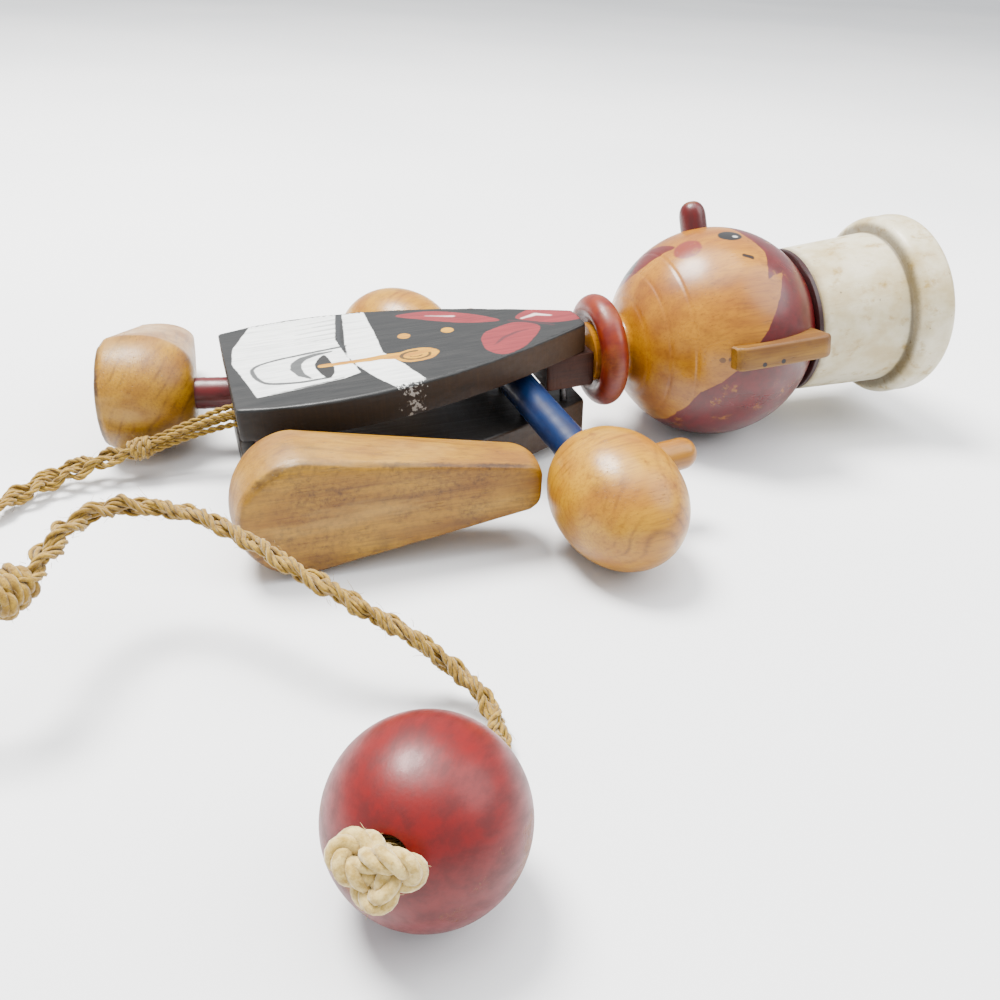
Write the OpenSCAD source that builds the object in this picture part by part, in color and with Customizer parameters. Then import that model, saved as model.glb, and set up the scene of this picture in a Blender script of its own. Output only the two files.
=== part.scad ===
// Pull-string jumping jack of a cook, turned and sawn from wood, lying on its back.
// +X runs from the feet to the hat, +Y to the figure's right side, +Z up.
// Z = 0 is the surface it lies on; the origin is under the middle of the figure.
// The body frame has x along the neck's axis, y to the figure's right and z out of its
// chest, with the middle of the head at its origin.

/* [Stance] */
// Lean of the body: its neck end is propped up by the round head
lean = 4.5; // [3:0.1:6]
// Turn of the head on its neck, away from the left side
head_turn = 23; // [0:1:30]
// Left arm, raised from hanging
left_arm_up = 95.5; // [50:0.5:110]
// Right arm, raised from hanging
right_arm_up = 59; // [50:0.5:110]
// Left leg, raised from hanging
left_leg_up = 90; // [0:1:92]
// Right leg, raised from hanging
right_leg_up = 10; // [0:1:92]

/* [Body boards] */
// Length of both boards, foot edge to neck end
board_l = 74; // [70:1:78]
// Width of the foot edge
board_foot_w = 38.6; // [36:0.2:40]
// Width of the neck end
board_neck_w = 8; // [7:0.5:10]
// Thickness of the front board
front_t = 6.5; // [6:0.1:7]
// Thickness of the back board
back_t = 8; // [7:0.1:9]
// Gap between the boards at the foot edge
board_gap = 8.7; // [8.5:0.1:9.5]
// Angle by which the back board has opened at the neck end
splay = 2; // [1.5:0.1:2.5]
// Height of the painted face above the neck's axis
face_h = 8.5; // [8:0.1:9]

/* [Head and hat] */
// Diameter of the head
head_d = 46; // [44:0.5:48]
// Diameter of the neck boss, which carries the collar
boss_d = 12.8; // [12:0.1:13]
// Diameter of the collar ring over all
collar_d = 24.2; // [23:0.1:26]
// Thickness of the collar ring's section
collar_t = 5.8; // [5:0.1:5.8]
// Diameter of the nose peg
nose_d = 5.9; // [5:0.1:7]
// Height of the nose above the head
nose_h = 6; // [4:0.1:8]
// Length of an ear, along the neck's axis
ear_l = 22; // [18:0.5:23]
// Thickness of an ear
ear_t = 4.8; // [4:0.1:6]
// Distance of an ear's outer face from the axis
ear_out = 25.6; // [24.5:0.1:27]
// Angle by which an ear sits behind the middle of the head's side
ear_back = 13.5; // [0:0.5:16]
// Diameter of the hat where it meets the head
hat_foot_d = 32.2; // [30:0.1:33]
// Diameter of the hat under its brim
hat_neck_d = 34.4; // [33:0.1:36]
// Diameter of the brim
brim_d = 41; // [40:0.1:43]
// Width of the brim
brim_w = 9.6; // [8:0.1:14]
// Length of the hat over all
hat_l = 31.5; // [30:0.5:34]

/* [Arms] */
// Diameter of an arm dowel
arm_d = 7.2; // [6.8:0.1:7.2]
// Left arm, shoulder nail to the middle of the hand
left_reach = 40.3; // [38:0.1:42]
// Right arm, shoulder nail to the middle of the hand
right_reach = 33.3; // [32:0.1:42]
// Length of a hand along the arm
hand_l = 31.4; // [28:0.2:33]
// Width of a hand across the arm
hand_d = 23.8; // [22:0.1:25]
// Diameter of a thumb peg
thumb_d = 6.2; // [5:0.1:7]
// Distance of a thumb's tip from the arm's axis
thumb_out = 21; // [18:0.5:22]

/* [Legs] */
// Diameter of a leg dowel
leg_d = 6.6; // [6:0.1:6.8]
// Hip nail to the sole
leg_reach = 31.2; // [30.8:0.1:33]
// Length of a shoe, heel to toe
shoe_l = 55.2; // [50:0.1:58]
// Width of a shoe at the heel
shoe_w = 24.2; // [22:0.1:25]
// Width of a shoe at the toe
toe_w = 10; // [8:0.5:12]
// Height of a shoe at the heel
shoe_h = 18.5; // [17:0.1:19]
// Height of a shoe at the toe
toe_h = 12.5; // [10:0.5:14]
// Heel end to the leg's axis
heel_back = 10.4; // [8:0.1:10.6]

/* [Pull cord] */
// Diameter of the pull cord
cord_d = 4.5; // [4:0.1:5]
// Diameter of the pull ball
ball_d = 24.6; // [23:0.1:26]
// Diameter of a limb string
string_d = 1.4; // [1.2:0.1:2]

/* [Hidden] */
$fn = 64;

// Place of the middle of the head
head_x = 40;
head_y = 1.6;
head_z = head_d / 2;
// Boards, along the body frame's x and z
foot_x = -106;
inner_z = face_h - front_t;
back_z = inner_z - board_gap;
// Bezier handles of a board's side: the hip's bulge and the shoulder's slope
hip_handle = [22, 26];
shoulder_handle = [46, 18.8];
side_steps = 24;
// Shoulders and hips: place of each nail and height of the dowel's axis on it
shoulder = [-47.3, 7.5, -3.05];
hip = [-100, 11, -2.35];
left_arm_droop = 6;
right_arm_droop = 4;
left_leg_droop = 1.4;
right_leg_droop = -4.2;
arm_tail = 5;
arm_hole = 3.4;
leg_tail = 6.3;
leg_hole = 4.7;
tail_hole_d = 1.6;
// Nails
nail_d = 1.6;
nail_clear = 0.08;
nail_l = 21;
nail_head_d = 3.2;
nail_head_t = 0.8;
nail_sink = 0.3;
bore_spare = 0.3;
neck_nail = [-36.6, -3];
// Neck block between the boards, and the head's tenon in it
block_x = [-41, -30.3];
block_w = 10;
block_t = 7.6;
tenon_d = 3;
tenon_l = 4.5;
collar_x = -27.2;
// Hat seat on the head
seat_x = 17.6;
band_d = 32.4;
band_t = 1.4;
hat_tenon_d = 8;
hat_tenon_l = 9;
brim_round = 2.5;
// Pegs and how deep they sit
nose_x = -1;
nose_grip = 6;
ear_x = -7;
ear_in = 16;
thumb_back = 7.6;
thumb_in = 4.3;
hand_grip = 9;
shoe_grip = 10;
left_shoe_roll = 3;
right_shoe_roll = 8;
shoe_steps = 7;
toe_corner = 3;
top_inset = 7.5;
// Height of a shoe's widest level above its sole
crown_h = 7;
// Route of the pull cord, from the point of the surface under the middle of the head:
// gathering knot, loop out past the feet, over the left foot and down to the ball
knot_at = [-124, 1.7, 7];
loop_knot_at = [-140.8, -65.2, 21.2];
ball_at = [-94.4, -109.8, 12.3];
end_knot_at = [-101.4, -118.8, 17.7];
cord_route = [knot_at, [-132, 2.2, 4.9], [-139.5, 1, 3.4], [-146.5, -4, 2.7],
    [-151, -9, 2.9], [-158, -18, 4], [-165, -32, 8], [-167, -47, 13], [-161, -60, 17.5],
    [-151, -66.5, 20.4], loop_knot_at, [-137.4, -61, 21.6], [-134.2, -53, 22],
    [-130.3, -47.6, 21.7], [-126, -46, 21.4], [-120.4, -47, 20.9], [-114.8, -50.4, 20.5],
    [-109.4, -56, 19.7], [-103.2, -64, 18.5], [-95.6, -70.4, 15.3], [-87.6, -74.6, 10.4],
    [-82, -77.8, 6], [-78.9, -82.4, 3.7], [-78.2, -87.4, 3], [-79.8, -92.4, 3.1],
    [-83.2, -96.2, 4.3], [-87.3, -100.6, 6.7], ball_at, [-100.2, -117.3, 16.8],
    [-102.4, -120.1, 18.6]];
// Routes of the limb strings, from the same point, knot end first
left_leg_route = [[-122.8, 0.9, 6.2], [-115, 1.2, 8.6], [-106, 0.2, 11], [-97.8, -1.6, 12]];
right_leg_route = [[-122.8, 2.6, 6.2], [-115, 3.6, 8.6], [-106, 3.6, 11], [-97.8, 1.6, 12]];
left_arm_route = [[-122.8, 0.9, 7.9], [-114, 1.2, 10.8], [-105, 0.2, 13.8], [-90, -1.6, 15.2],
    [-57.8, -2, 17.4]];
right_arm_route = [[-122.8, 2.6, 7.9], [-114, 3.6, 10.8], [-105, 3.2, 13.8], [-90, 1.6, 15.2],
    [-57.8, 2, 17.4]];
cord_sides = 10;
string_sides = 8;
gather_knot_l = 7.5;
gather_knot_d = 5.8;
loop_knot_l = 9;
loop_knot_d = 7.4;
end_knot_l = 6;
end_knot_d = 12;
cord_fit = 0.04;
ball_bore_play = 0.4;

// ---- functions ----
function unit(v) = v / norm(v);
function bezier(p, t) = pow(1 - t, 3) * p[0] + 3 * pow(1 - t, 2) * t * p[1]
    + 3 * (1 - t) * pow(t, 2) * p[2] + pow(t, 3) * p[3];
function board_side() = let (p = [[0, board_foot_w / 2], hip_handle, shoulder_handle,
    [board_l, board_neck_w / 2]]) [for (i = [0 : side_steps]) bezier(p, i / side_steps)];
function flip(points) = [for (i = [len(points) - 1 : -1 : 0]) [points[i][0], -points[i][1]]];
// Height of the back board's rear face at a place along the body
function rear_z(x) = back_z - back_t / cos(splay) - (x - foot_x) * tan(splay);
function ring(centre, along, r, sides) = let (t = unit(along), s = unit(cross([0, 0, 1], t)),
    u = cross(t, s)) [for (i = [0 : sides - 1])
    centre + r * (cos(360 * i / sides) * s + sin(360 * i / sides) * u)];
// Catmull-Rom points through a list
function spline_at(a, b, c, d, t) = 0.5 * (2 * b + (c - a) * t
    + (2 * a - 5 * b + 4 * c - d) * t * t + (3 * b - a - 3 * c + d) * t * t * t);
function spline(p, steps) = let (n = len(p) - 1) [for (i = [0 : n - 1], k = [0 : steps - 1])
    spline_at(p[max(i - 1, 0)], p[i], p[i + 1], p[min(i + 2, n)], k / steps), p[n]];
// Radius of an egg-shaped hand at a distance from its middle
function hand_r(x) = hand_d / 2 * sqrt(max(0, 1 - pow(2 * x / hand_l, 2)));
// Sole outline of a shoe drawn in by f (0 to 1), as [across, out of the chest]
function shoe_outline(f) = let (r = shoe_w / 2 - top_inset * f, x0 = shoe_w / 2 - heel_back,
    x1 = shoe_l - heel_back - 5 * f, w = toe_w / 2 - 3 * f, c = toe_corner - 1.4 * f)
    concat([for (i = [0 : 12]) let (a = 90 + 15 * i) [x0 + r * cos(a), r * sin(a)]],
    [for (i = [0 : 4]) let (a = -90 + 22.5 * i) [x1 - c + c * cos(a), -(w - c) + c * sin(a)]],
    [for (i = [0 : 4]) let (a = 22.5 * i) [x1 - c + c * cos(a), (w - c) + c * sin(a)]]);
// Height factor of a shoe, lower towards the toe
function shoe_fall(x) = 1 - (1 - toe_h / shoe_h) * max(0, x) / (shoe_l - heel_back);

// ---- shared shapes ----
module in_body() translate([head_x, head_y, head_z]) rotate([0, -lean, 0]) children();
module in_head() in_body() rotate([-head_turn, 0, 0]) children();
module on_ground() translate([head_x, head_y, 0]) children();
module along_x() rotate([0, 90, 0]) children();
module board(t) linear_extrude(t) polygon(concat(board_side(), flip(board_side())));
module peg(d, l) {
    // A turned peg along +Z with a round tip
    r = d / 2;
    rotate_extrude() polygon(concat([[0, 0], [r, 0]],
        [for (a = [0 : 15 : 75]) [r * cos(a), l - r + r * sin(a)]], [[0, l]]));
}
module tube(points, d, sides) {
    n = len(points);
    rings = [for (i = [0 : n - 1]) each ring(points[i],
        points[min(i + 1, n - 1)] - points[max(i - 1, 0)], d / 2, sides)];
    walls = [for (i = [0 : n - 2], j = [0 : sides - 1])
        let (a = i * sides + j, b = i * sides + (j + 1) % sides)
        each [[a, b + sides, b], [a, a + sides, b + sides]]];
    near = [[for (j = [0 : sides - 1]) j]];
    far = [[for (j = [sides - 1 : -1 : 0]) (n - 1) * sides + j]];
    polyhedron(rings, concat(walls, near, far));
}
module knot(l, d) {
    // A tight knot as one turned lump along +Z
    steps = 10;
    rotate_extrude($fn = 20) polygon([for (i = [0 : steps])
        [d / 2 * sin(180 * i / steps), -l / 2 * cos(180 * i / steps)]]);
}
module aim(dir) rotate([0, acos(unit(dir)[2]), atan2(dir[1], dir[0])]) children();
// Frame of a limb on its nail: x along the limb, y to the head when raised; side -1 is left
module at_joint(pivot, up, side) in_body() scale([1, -side, 1])
    translate([pivot[0], -pivot[1], pivot[2]]) rotate([0, 0, 180 + up]) children();
module limb_dowel(d, tail, end, droop, hole) difference() {
    rotate([0, droop, 0]) translate([-tail, 0, 0]) along_x() cylinder(d = d, h = tail + end);
    translate([0, 0, -d]) cylinder(d = nail_d + 2 * nail_clear, h = 2 * d);
    translate([-hole, 0, -d]) cylinder(d = tail_hole_d, h = 2 * d, $fn = 24);
}
module nail(x, y, extra = 0) translate([x, y, rear_z(x) + nail_sink]) {
    translate([0, 0, -extra]) cylinder(d = nail_head_d, h = nail_head_t + extra, $fn = 24);
    cylinder(d = nail_d, h = nail_l + (extra > 0 ? bore_spare : 0), $fn = 24);
}
module all_nails(extra = 0) {
    for (p = [shoulder, hip], s = [-1, 1]) nail(p[0], s * p[1], extra);
    nail(neck_nail[0], neck_nail[1], extra);
}

// ---- body ----
module front_panel() color("#3b3735") in_body() difference() {
    translate([foot_x, 0, inner_z]) board(front_t);
    all_nails(1);
}
module back_panel() color("#37322f") in_body() difference() {
    translate([foot_x, 0, back_z]) rotate([0, splay, 0]) translate([0, 0, -back_t])
        board(back_t);
    all_nails(1);
}
module nails() color("#8d8f92") in_body() all_nails();
module neck_block() color("#b58a55") in_body() difference() {
    translate([block_x[0], -block_w / 2, inner_z - block_t])
        cube([block_x[1] - block_x[0], block_w, block_t]);
    all_nails(1);
    translate([block_x[1] - tenon_l - bore_spare, 0, 0]) along_x()
        cylinder(d = tenon_d, h = 20, $fn = 24);
}

// ---- head ----
module head() color("#d9903f") in_head() difference() {
    union() {
        sphere(d = head_d);
        translate([block_x[1], 0, 0]) along_x() cylinder(d = boss_d, h = 14);
        translate([block_x[1] - tenon_l, 0, 0]) along_x()
            cylinder(d = tenon_d, h = 8, $fn = 24);
    }
    translate([seat_x, -head_d, -head_d]) cube(2 * head_d);
    translate([seat_x - hat_tenon_l + band_t - bore_spare, 0, 0]) along_x()
        cylinder(d = hat_tenon_d, h = 20);
    translate([nose_x, 0, head_d / 2 - nose_grip]) cylinder(d = nose_d, h = 20);
    ear_slab();
    mirror([0, 1, 0]) ear_slab();
}
module ear_slab() rotate([-ear_back, 0, 0]) translate([ear_x, ear_in, -ear_t / 2])
    cube([ear_l, ear_out - ear_in, ear_t]);
module left_ear() color("#a97b45") in_head() mirror([0, 1, 0]) ear_slab();
module right_ear() color("#a97b45") in_head() ear_slab();
module nose_peg() color("#8c2a22") in_head() translate([nose_x, 0, head_d / 2 - nose_grip])
    peg(nose_d, nose_grip + nose_h);
module collar_ring() color("#b5442c") in_body() translate([collar_x, 0, 0]) along_x()
    difference() {
        rotate_extrude() translate([(collar_d - collar_t) / 2, 0]) circle(d = collar_t, $fn = 32);
        translate([0, 0, -10]) cylinder(d = boss_d, h = 20);
    }
module hat_band() color("#5a1e20") in_head() translate([seat_x, 0, 0]) along_x() difference() {
    cylinder(d = band_d, h = band_t);
    translate([0, 0, -1]) cylinder(d = hat_tenon_d, h = band_t + 2);
}
module hat() color("#e9e2cf") in_head() translate([seat_x + band_t, 0, 0]) along_x()
    rotate_extrude() {
        r = brim_d / 2 - brim_round;
        z0 = hat_l - brim_w;
        polygon(concat([[0, -hat_tenon_l], [hat_tenon_d / 2, -hat_tenon_l],
            [hat_tenon_d / 2, 0], [hat_foot_d / 2, 0], [hat_neck_d / 2, z0]],
            [for (a = [-90 : 15 : 0]) [r + brim_round * cos(a),
                z0 + brim_round + brim_round * sin(a)]],
            [for (a = [0 : 15 : 90]) [r + brim_round * cos(a),
                hat_l - brim_round + brim_round * sin(a)]], [[0, hat_l]]));
    }

// ---- arms ----
module arm_of(reach, droop) limb_dowel(arm_d, arm_tail, reach - hand_l / 2 + hand_grip,
    droop, arm_hole);
module thumb_frame(reach, droop) rotate([0, droop, 0]) translate([reach - thumb_back, 0, 0])
    rotate([-90, 0, 0]) children();
module hand_of(reach, droop) difference() {
    rotate([0, droop, 0]) translate([reach, 0, 0]) along_x() rotate_extrude() polygon(
        [for (a = [-90 : 9 : 90]) [hand_d / 2 * cos(a), hand_l / 2 * sin(a)]]);
    rotate([0, droop, 0]) along_x() cylinder(d = arm_d, h = reach - hand_l / 2 + hand_grip);
    thumb_frame(reach, droop) translate([0, 0, thumb_in]) cylinder(d = thumb_d, h = 20);
}
module thumb_of(reach, droop) thumb_frame(reach, droop) translate([0, 0, thumb_in])
    peg(thumb_d, thumb_out - thumb_in);
module left_arm() color("#23407c") at_joint(shoulder, left_arm_up, -1)
    arm_of(left_reach, left_arm_droop);
module right_arm() color("#23407c") at_joint(shoulder, right_arm_up, 1)
    arm_of(right_reach, right_arm_droop);
module left_hand() color("#dca353") at_joint(shoulder, left_arm_up, -1)
    hand_of(left_reach, left_arm_droop);
module right_hand() color("#dca353") at_joint(shoulder, right_arm_up, 1)
    hand_of(right_reach, right_arm_droop);
module left_thumb() color("#d39a4c") at_joint(shoulder, left_arm_up, -1)
    thumb_of(left_reach, left_arm_droop);
module right_thumb() color("#d39a4c") at_joint(shoulder, right_arm_up, 1)
    thumb_of(right_reach, right_arm_droop);

// ---- legs ----
module leg_of(droop) limb_dowel(leg_d, leg_tail, leg_reach - shoe_h + shoe_grip, droop,
    leg_hole);
// One level of a shoe: outline drawn in by f at a height above the sole
function shoe_level(f, h) = [for (p = shoe_outline(f)) [leg_reach - h * shoe_fall(p[0]),
    p[0], p[1]]];
module shoe_blank() {
    sides = len(shoe_outline(0));
    levels = concat([[0.26, 0], [0.14, 0.5]], [for (t = [0.3, 0.65, 1])
        [0.12 * pow(1 - t, 2), crown_h * t]], [for (i = [1 : shoe_steps])
        let (a = 90 * i / shoe_steps) [1 - cos(a), crown_h + (shoe_h - crown_h) * sin(a)]]);
    n = len(levels);
    points = [for (l = levels) each shoe_level(l[0], l[1])];
    walls = [for (i = [0 : n - 2], j = [0 : sides - 1])
        let (a = i * sides + j, b = i * sides + (j + 1) % sides)
        each [[a, b, b + sides], [a, b + sides, a + sides]]];
    top = [for (j = [0 : sides - 1]) (n - 1) * sides + j];
    bottom = [for (j = [sides - 1 : -1 : 0]) j];
    polyhedron(points, concat(walls, [top, bottom]));
}
module shoe_of(droop, roll) difference() {
    rotate([0, droop, 0]) rotate([roll, 0, 0]) shoe_blank();
    rotate([0, droop, 0]) along_x() cylinder(d = leg_d, h = leg_reach - shoe_h + shoe_grip);
}
module left_leg() color("#93283a") at_joint(hip, left_leg_up, -1) leg_of(left_leg_droop);
module right_leg() color("#93283a") at_joint(hip, right_leg_up, 1) leg_of(right_leg_droop);
module left_shoe() color("#cf9440") at_joint(hip, left_leg_up, -1)
    shoe_of(left_leg_droop, -left_shoe_roll);
module right_shoe() color("#cf9440") at_joint(hip, right_leg_up, 1)
    shoe_of(right_leg_droop, -right_shoe_roll);

// ---- strings, cord and ball ----
module string(route) on_ground() tube(spline(route, 4), string_d, string_sides);
module left_arm_string() color("#c9a86a") string(left_arm_route);
module right_arm_string() color("#c9a86a") string(right_arm_route);
module left_leg_string() color("#c9a86a") string(left_leg_route);
module right_leg_string() color("#c9a86a") string(right_leg_route);
module cord_tube(play = 0) tube(spline(cord_route, 2), cord_d + play, cord_sides);
module gather_knot() color("#cfae70") on_ground() difference() {
    translate(knot_at) aim(cord_route[1] - knot_at) knot(gather_knot_l, gather_knot_d);
    cord_tube(cord_fit);
    for (route = [left_leg_route, right_leg_route, left_arm_route, right_arm_route])
        tube(spline(route, 4), string_d + cord_fit, string_sides);
}
module pull_cord() color("#c9a86a") on_ground() cord_tube();
module loop_knot() color("#cfae70") on_ground() difference() {
    translate(loop_knot_at) aim([3.4, 4.2, 0.4]) knot(loop_knot_l, loop_knot_d);
    cord_tube(cord_fit);
}
module pull_ball() color("#a52326") on_ground() difference() {
    translate(ball_at) sphere(d = ball_d);
    translate(ball_at) aim(end_knot_at - ball_at) translate([0, 0, -ball_d])
        cylinder(d = cord_d + ball_bore_play, h = 2 * ball_d, $fn = 32);
}
module ball_knot() color("#e6ddc6") on_ground() difference() {
    translate(end_knot_at) aim(end_knot_at - ball_at) translate([0, 0, end_knot_l / 2 - 0.6])
        knot(end_knot_l, end_knot_d);
    cord_tube(cord_fit);
    translate(ball_at) sphere(d = ball_d + cord_fit);
}

front_panel();
back_panel();
neck_block();
nails();
collar_ring();
head();
nose_peg();
left_ear();
right_ear();
hat_band();
hat();
left_arm();
left_hand();
left_thumb();
right_arm();
right_hand();
right_thumb();
left_leg();
left_shoe();
right_leg();
right_shoe();
left_arm_string();
right_arm_string();
left_leg_string();
right_leg_string();
gather_knot();
pull_cord();
loop_knot();
pull_ball();
ball_knot();
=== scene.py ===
import math
import bmesh
import bpy
import numpy as np
from mathutils import Matrix, Vector


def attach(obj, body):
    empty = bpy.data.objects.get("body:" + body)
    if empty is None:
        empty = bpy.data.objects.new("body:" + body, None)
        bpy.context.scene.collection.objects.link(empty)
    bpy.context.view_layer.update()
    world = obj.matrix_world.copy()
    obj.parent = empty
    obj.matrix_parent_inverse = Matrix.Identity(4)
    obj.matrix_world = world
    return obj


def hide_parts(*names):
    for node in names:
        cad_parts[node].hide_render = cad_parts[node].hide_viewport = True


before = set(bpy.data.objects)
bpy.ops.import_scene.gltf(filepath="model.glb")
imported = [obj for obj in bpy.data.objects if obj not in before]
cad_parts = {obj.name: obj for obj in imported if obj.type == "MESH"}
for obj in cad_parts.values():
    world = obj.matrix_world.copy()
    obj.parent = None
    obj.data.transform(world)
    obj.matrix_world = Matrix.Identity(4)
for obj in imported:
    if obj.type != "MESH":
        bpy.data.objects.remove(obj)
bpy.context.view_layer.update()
MM = 0.001

# ---------------------------------------------------------------- frames
LEAN, SPLAY, TURN = 4.5, 2.0, 23.0
HEAD_AT = (40.0, 1.6, 23.0)
FOOT_X, INNER_Z, BACK_Z = -106.0, 2.0, -6.7
SHOULDER = (-47.3, 7.5, -3.05)
HIP = (-100.0, 11.0, -2.35)


def T(x, y, z):
    return Matrix.Translation((x * MM, y * MM, z * MM))


def R(deg, axis):
    return Matrix.Rotation(math.radians(deg), 4, axis)


BODY = T(*HEAD_AT) @ R(-LEAN, "Y")
HEAD = BODY @ R(-TURN, "X")
GROUND = T(HEAD_AT[0], HEAD_AT[1], 0)


def limb(pivot, up, droop, side):
    # x along the limb; the thumb and toe side is -side * y
    return (BODY @ T(pivot[0], side * pivot[1], pivot[2])
            @ R(-side * (180 + up), "Z") @ R(droop, "Y"))


# ---------------------------------------------------------------- camera
CAMERA_TURN, CAMERA_DIP, CAMERA_ROLL = 19.83, 30.28, 3.15
CAMERA_AT = (-115.77, -187.71, 102.05)


def make_camera():
    psi, th, ro = (math.radians(a) for a in (CAMERA_TURN, CAMERA_DIP, CAMERA_ROLL))
    f = Vector((math.sin(psi) * math.cos(th), math.cos(psi) * math.cos(th), -math.sin(th)))
    r = Vector((math.cos(psi), -math.sin(psi), 0))
    u = r.cross(f)
    r2 = r * math.cos(ro) + u * math.sin(ro)
    u2 = -r * math.sin(ro) + u * math.cos(ro)
    data = bpy.data.cameras.new("camera")
    data.lens = data.sensor_width = 36
    data.clip_start = 0.01
    data.clip_end = 20
    cam = bpy.data.objects.new("camera", data)
    bpy.context.scene.collection.objects.link(cam)
    m = Matrix((r2, u2, -f)).transposed().to_4x4()
    m.translation = GROUND @ (Vector(CAMERA_AT) * MM)
    cam.matrix_world = m
    bpy.context.scene.camera = cam


make_camera()


# ---------------------------------------------------------------- mesh helpers
def put(name, mesh, M, body, nodes, mat, smooth=40, fields=None):
    # The points go through M into the shared frame; the material is laid out before M
    me = bpy.data.meshes.new(name)
    points = np.asarray(mesh[0]) * MM @ np.array(M.to_3x3()).T + np.array(M.translation)
    me.from_pydata(points.tolist(), [], mesh[1])
    bm = bmesh.new()
    bm.from_mesh(me)
    bmesh.ops.recalc_face_normals(bm, faces=bm.faces)
    bm.to_mesh(me)
    bm.free()
    me.update()
    ob = bpy.data.objects.new(name, me)
    bpy.context.scene.collection.objects.link(ob)
    me.shade_smooth()
    if smooth < 180:
        me.set_sharp_from_angle(angle=math.radians(smooth))
    me.materials.append(mat)
    back = M.inverted()
    mapping = mat.node_tree.nodes["frame"].inputs
    mapping["Location"].default_value = back.translation
    mapping["Rotation"].default_value = back.to_euler()
    for key, values in (fields or {}).items():
        data = me.attributes.new(key, "FLOAT", "POINT").data
        data.foreach_set("value", np.asarray(values, dtype=np.float32))
    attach(ob, body)
    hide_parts(*nodes)
    return ob


def loft(loops):
    # Closed loops of equal count, in order; the ends are filled
    n = len(loops[0])
    verts = [p for l in loops for p in l]
    faces = []
    for i in range(len(loops) - 1):
        a = i * n
        for j in range(n):
            k = (j + 1) % n
            faces.append((a + j, a + k, a + n + k, a + n + j))
    last = (len(loops) - 1) * n
    faces.append(tuple(range(n - 1, -1, -1)))
    faces.append(tuple(range(last, last + n)))
    return verts, faces


def lathe(profile, n=96, wobble=0.0):
    # Profile of (x, r) turned about x; a point with r = 0 is one vertex
    verts, rings, faces = [], [], []
    for x, r in profile:
        if r <= 1e-6:
            rings.append([len(verts)])
            verts.append((x, 0, 0))
        else:
            rings.append(list(range(len(verts), len(verts) + n)))
            for j in range(n):
                a = 2 * math.pi * j / n
                q = r * (1 + wobble * math.sin(2 * a + x * 0.3))
                verts.append((x, -q * math.cos(a), q * math.sin(a)))
    for A, B in zip(rings, rings[1:]):
        for j in range(n):
            k = (j + 1) % n
            if len(A) == 1 and len(B) == 1:
                continue
            if len(A) == 1:
                faces.append((A[0], B[k], B[j]))
            elif len(B) == 1:
                faces.append((A[j], A[k], B[0]))
            else:
                faces.append((A[j], A[k], B[k], B[j]))
    if len(rings[0]) > 1:
        faces.append(tuple(rings[0][::-1]))
    if len(rings[-1]) > 1:
        faces.append(tuple(rings[-1]))
    return verts, faces


def cap(x, rx, ry, angles, base=0.0, power=1.0):
    # Profile points on a rounded edge; angles in degrees from the radial direction
    return [(x + rx * math.sin(math.radians(a)),
             base + ry * math.cos(math.radians(a)) ** power) for a in angles]


def spline(p, steps, closed=False):
    p = [np.array(q, float) for q in p]
    n = len(p)
    out = []
    for i in range(n if closed else n - 1):
        if closed:
            a, b, c, d = p[(i - 1) % n], p[i], p[(i + 1) % n], p[(i + 2) % n]
        else:
            a, b, c, d = p[max(i - 1, 0)], p[i], p[i + 1], p[min(i + 2, n - 1)]
        for k in range(steps):
            t = k / steps
            out.append(0.5 * (2 * b + (c - a) * t + (2 * a - 5 * b + 4 * c - d) * t * t
                              + (3 * b - a - 3 * c + d) * t ** 3))
    if not closed:
        out.append(p[-1])
    return np.array(out)


def resample(path, step):
    seg = np.linalg.norm(np.diff(path, axis=0), axis=1)
    s = np.concatenate([[0], np.cumsum(seg)])
    n = max(2, int(round(s[-1] / step)))
    q = np.linspace(0, s[-1], n + 1)
    return np.stack([np.interp(q, s, path[:, i]) for i in range(3)], axis=1), q


def frames(path, up=(0, 0, 1)):
    # A side and an up direction at each point, carried along without twist
    t = np.gradient(path, axis=0)
    t /= np.linalg.norm(t, axis=1)[:, None]
    side = np.cross(np.array(up, float), t[0])
    side /= np.linalg.norm(side)
    S = []
    for k in range(len(path)):
        side = side - t[k] * np.dot(side, t[k])
        side /= np.linalg.norm(side)
        S.append(side.copy())
    S = np.array(S)
    return t, S, np.cross(t, S)


def tube_of(path, radius, sides):
    t, S, U = frames(path)
    radius = np.broadcast_to(radius, len(path))
    verts, faces = [], []
    for k in range(len(path)):
        for j in range(sides):
            a = 2 * math.pi * j / sides
            verts.append(path[k] + radius[k] * (math.cos(a) * S[k] + math.sin(a) * U[k]))
    for k in range(len(path) - 1):
        for j in range(sides):
            a, b = k * sides + j, k * sides + (j + 1) % sides
            faces.append((a, b, b + sides, a + sides))
    last = (len(path) - 1) * sides
    faces.append(tuple(range(sides - 1, -1, -1)))
    faces.append(tuple(range(last, last + sides)))
    return verts, faces


def join(parts):
    verts, faces = [], []
    for v, f in parts:
        o = len(verts)
        verts.extend(v)
        faces.extend(tuple(i + o for i in g) for g in f)
    return verts, faces


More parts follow.
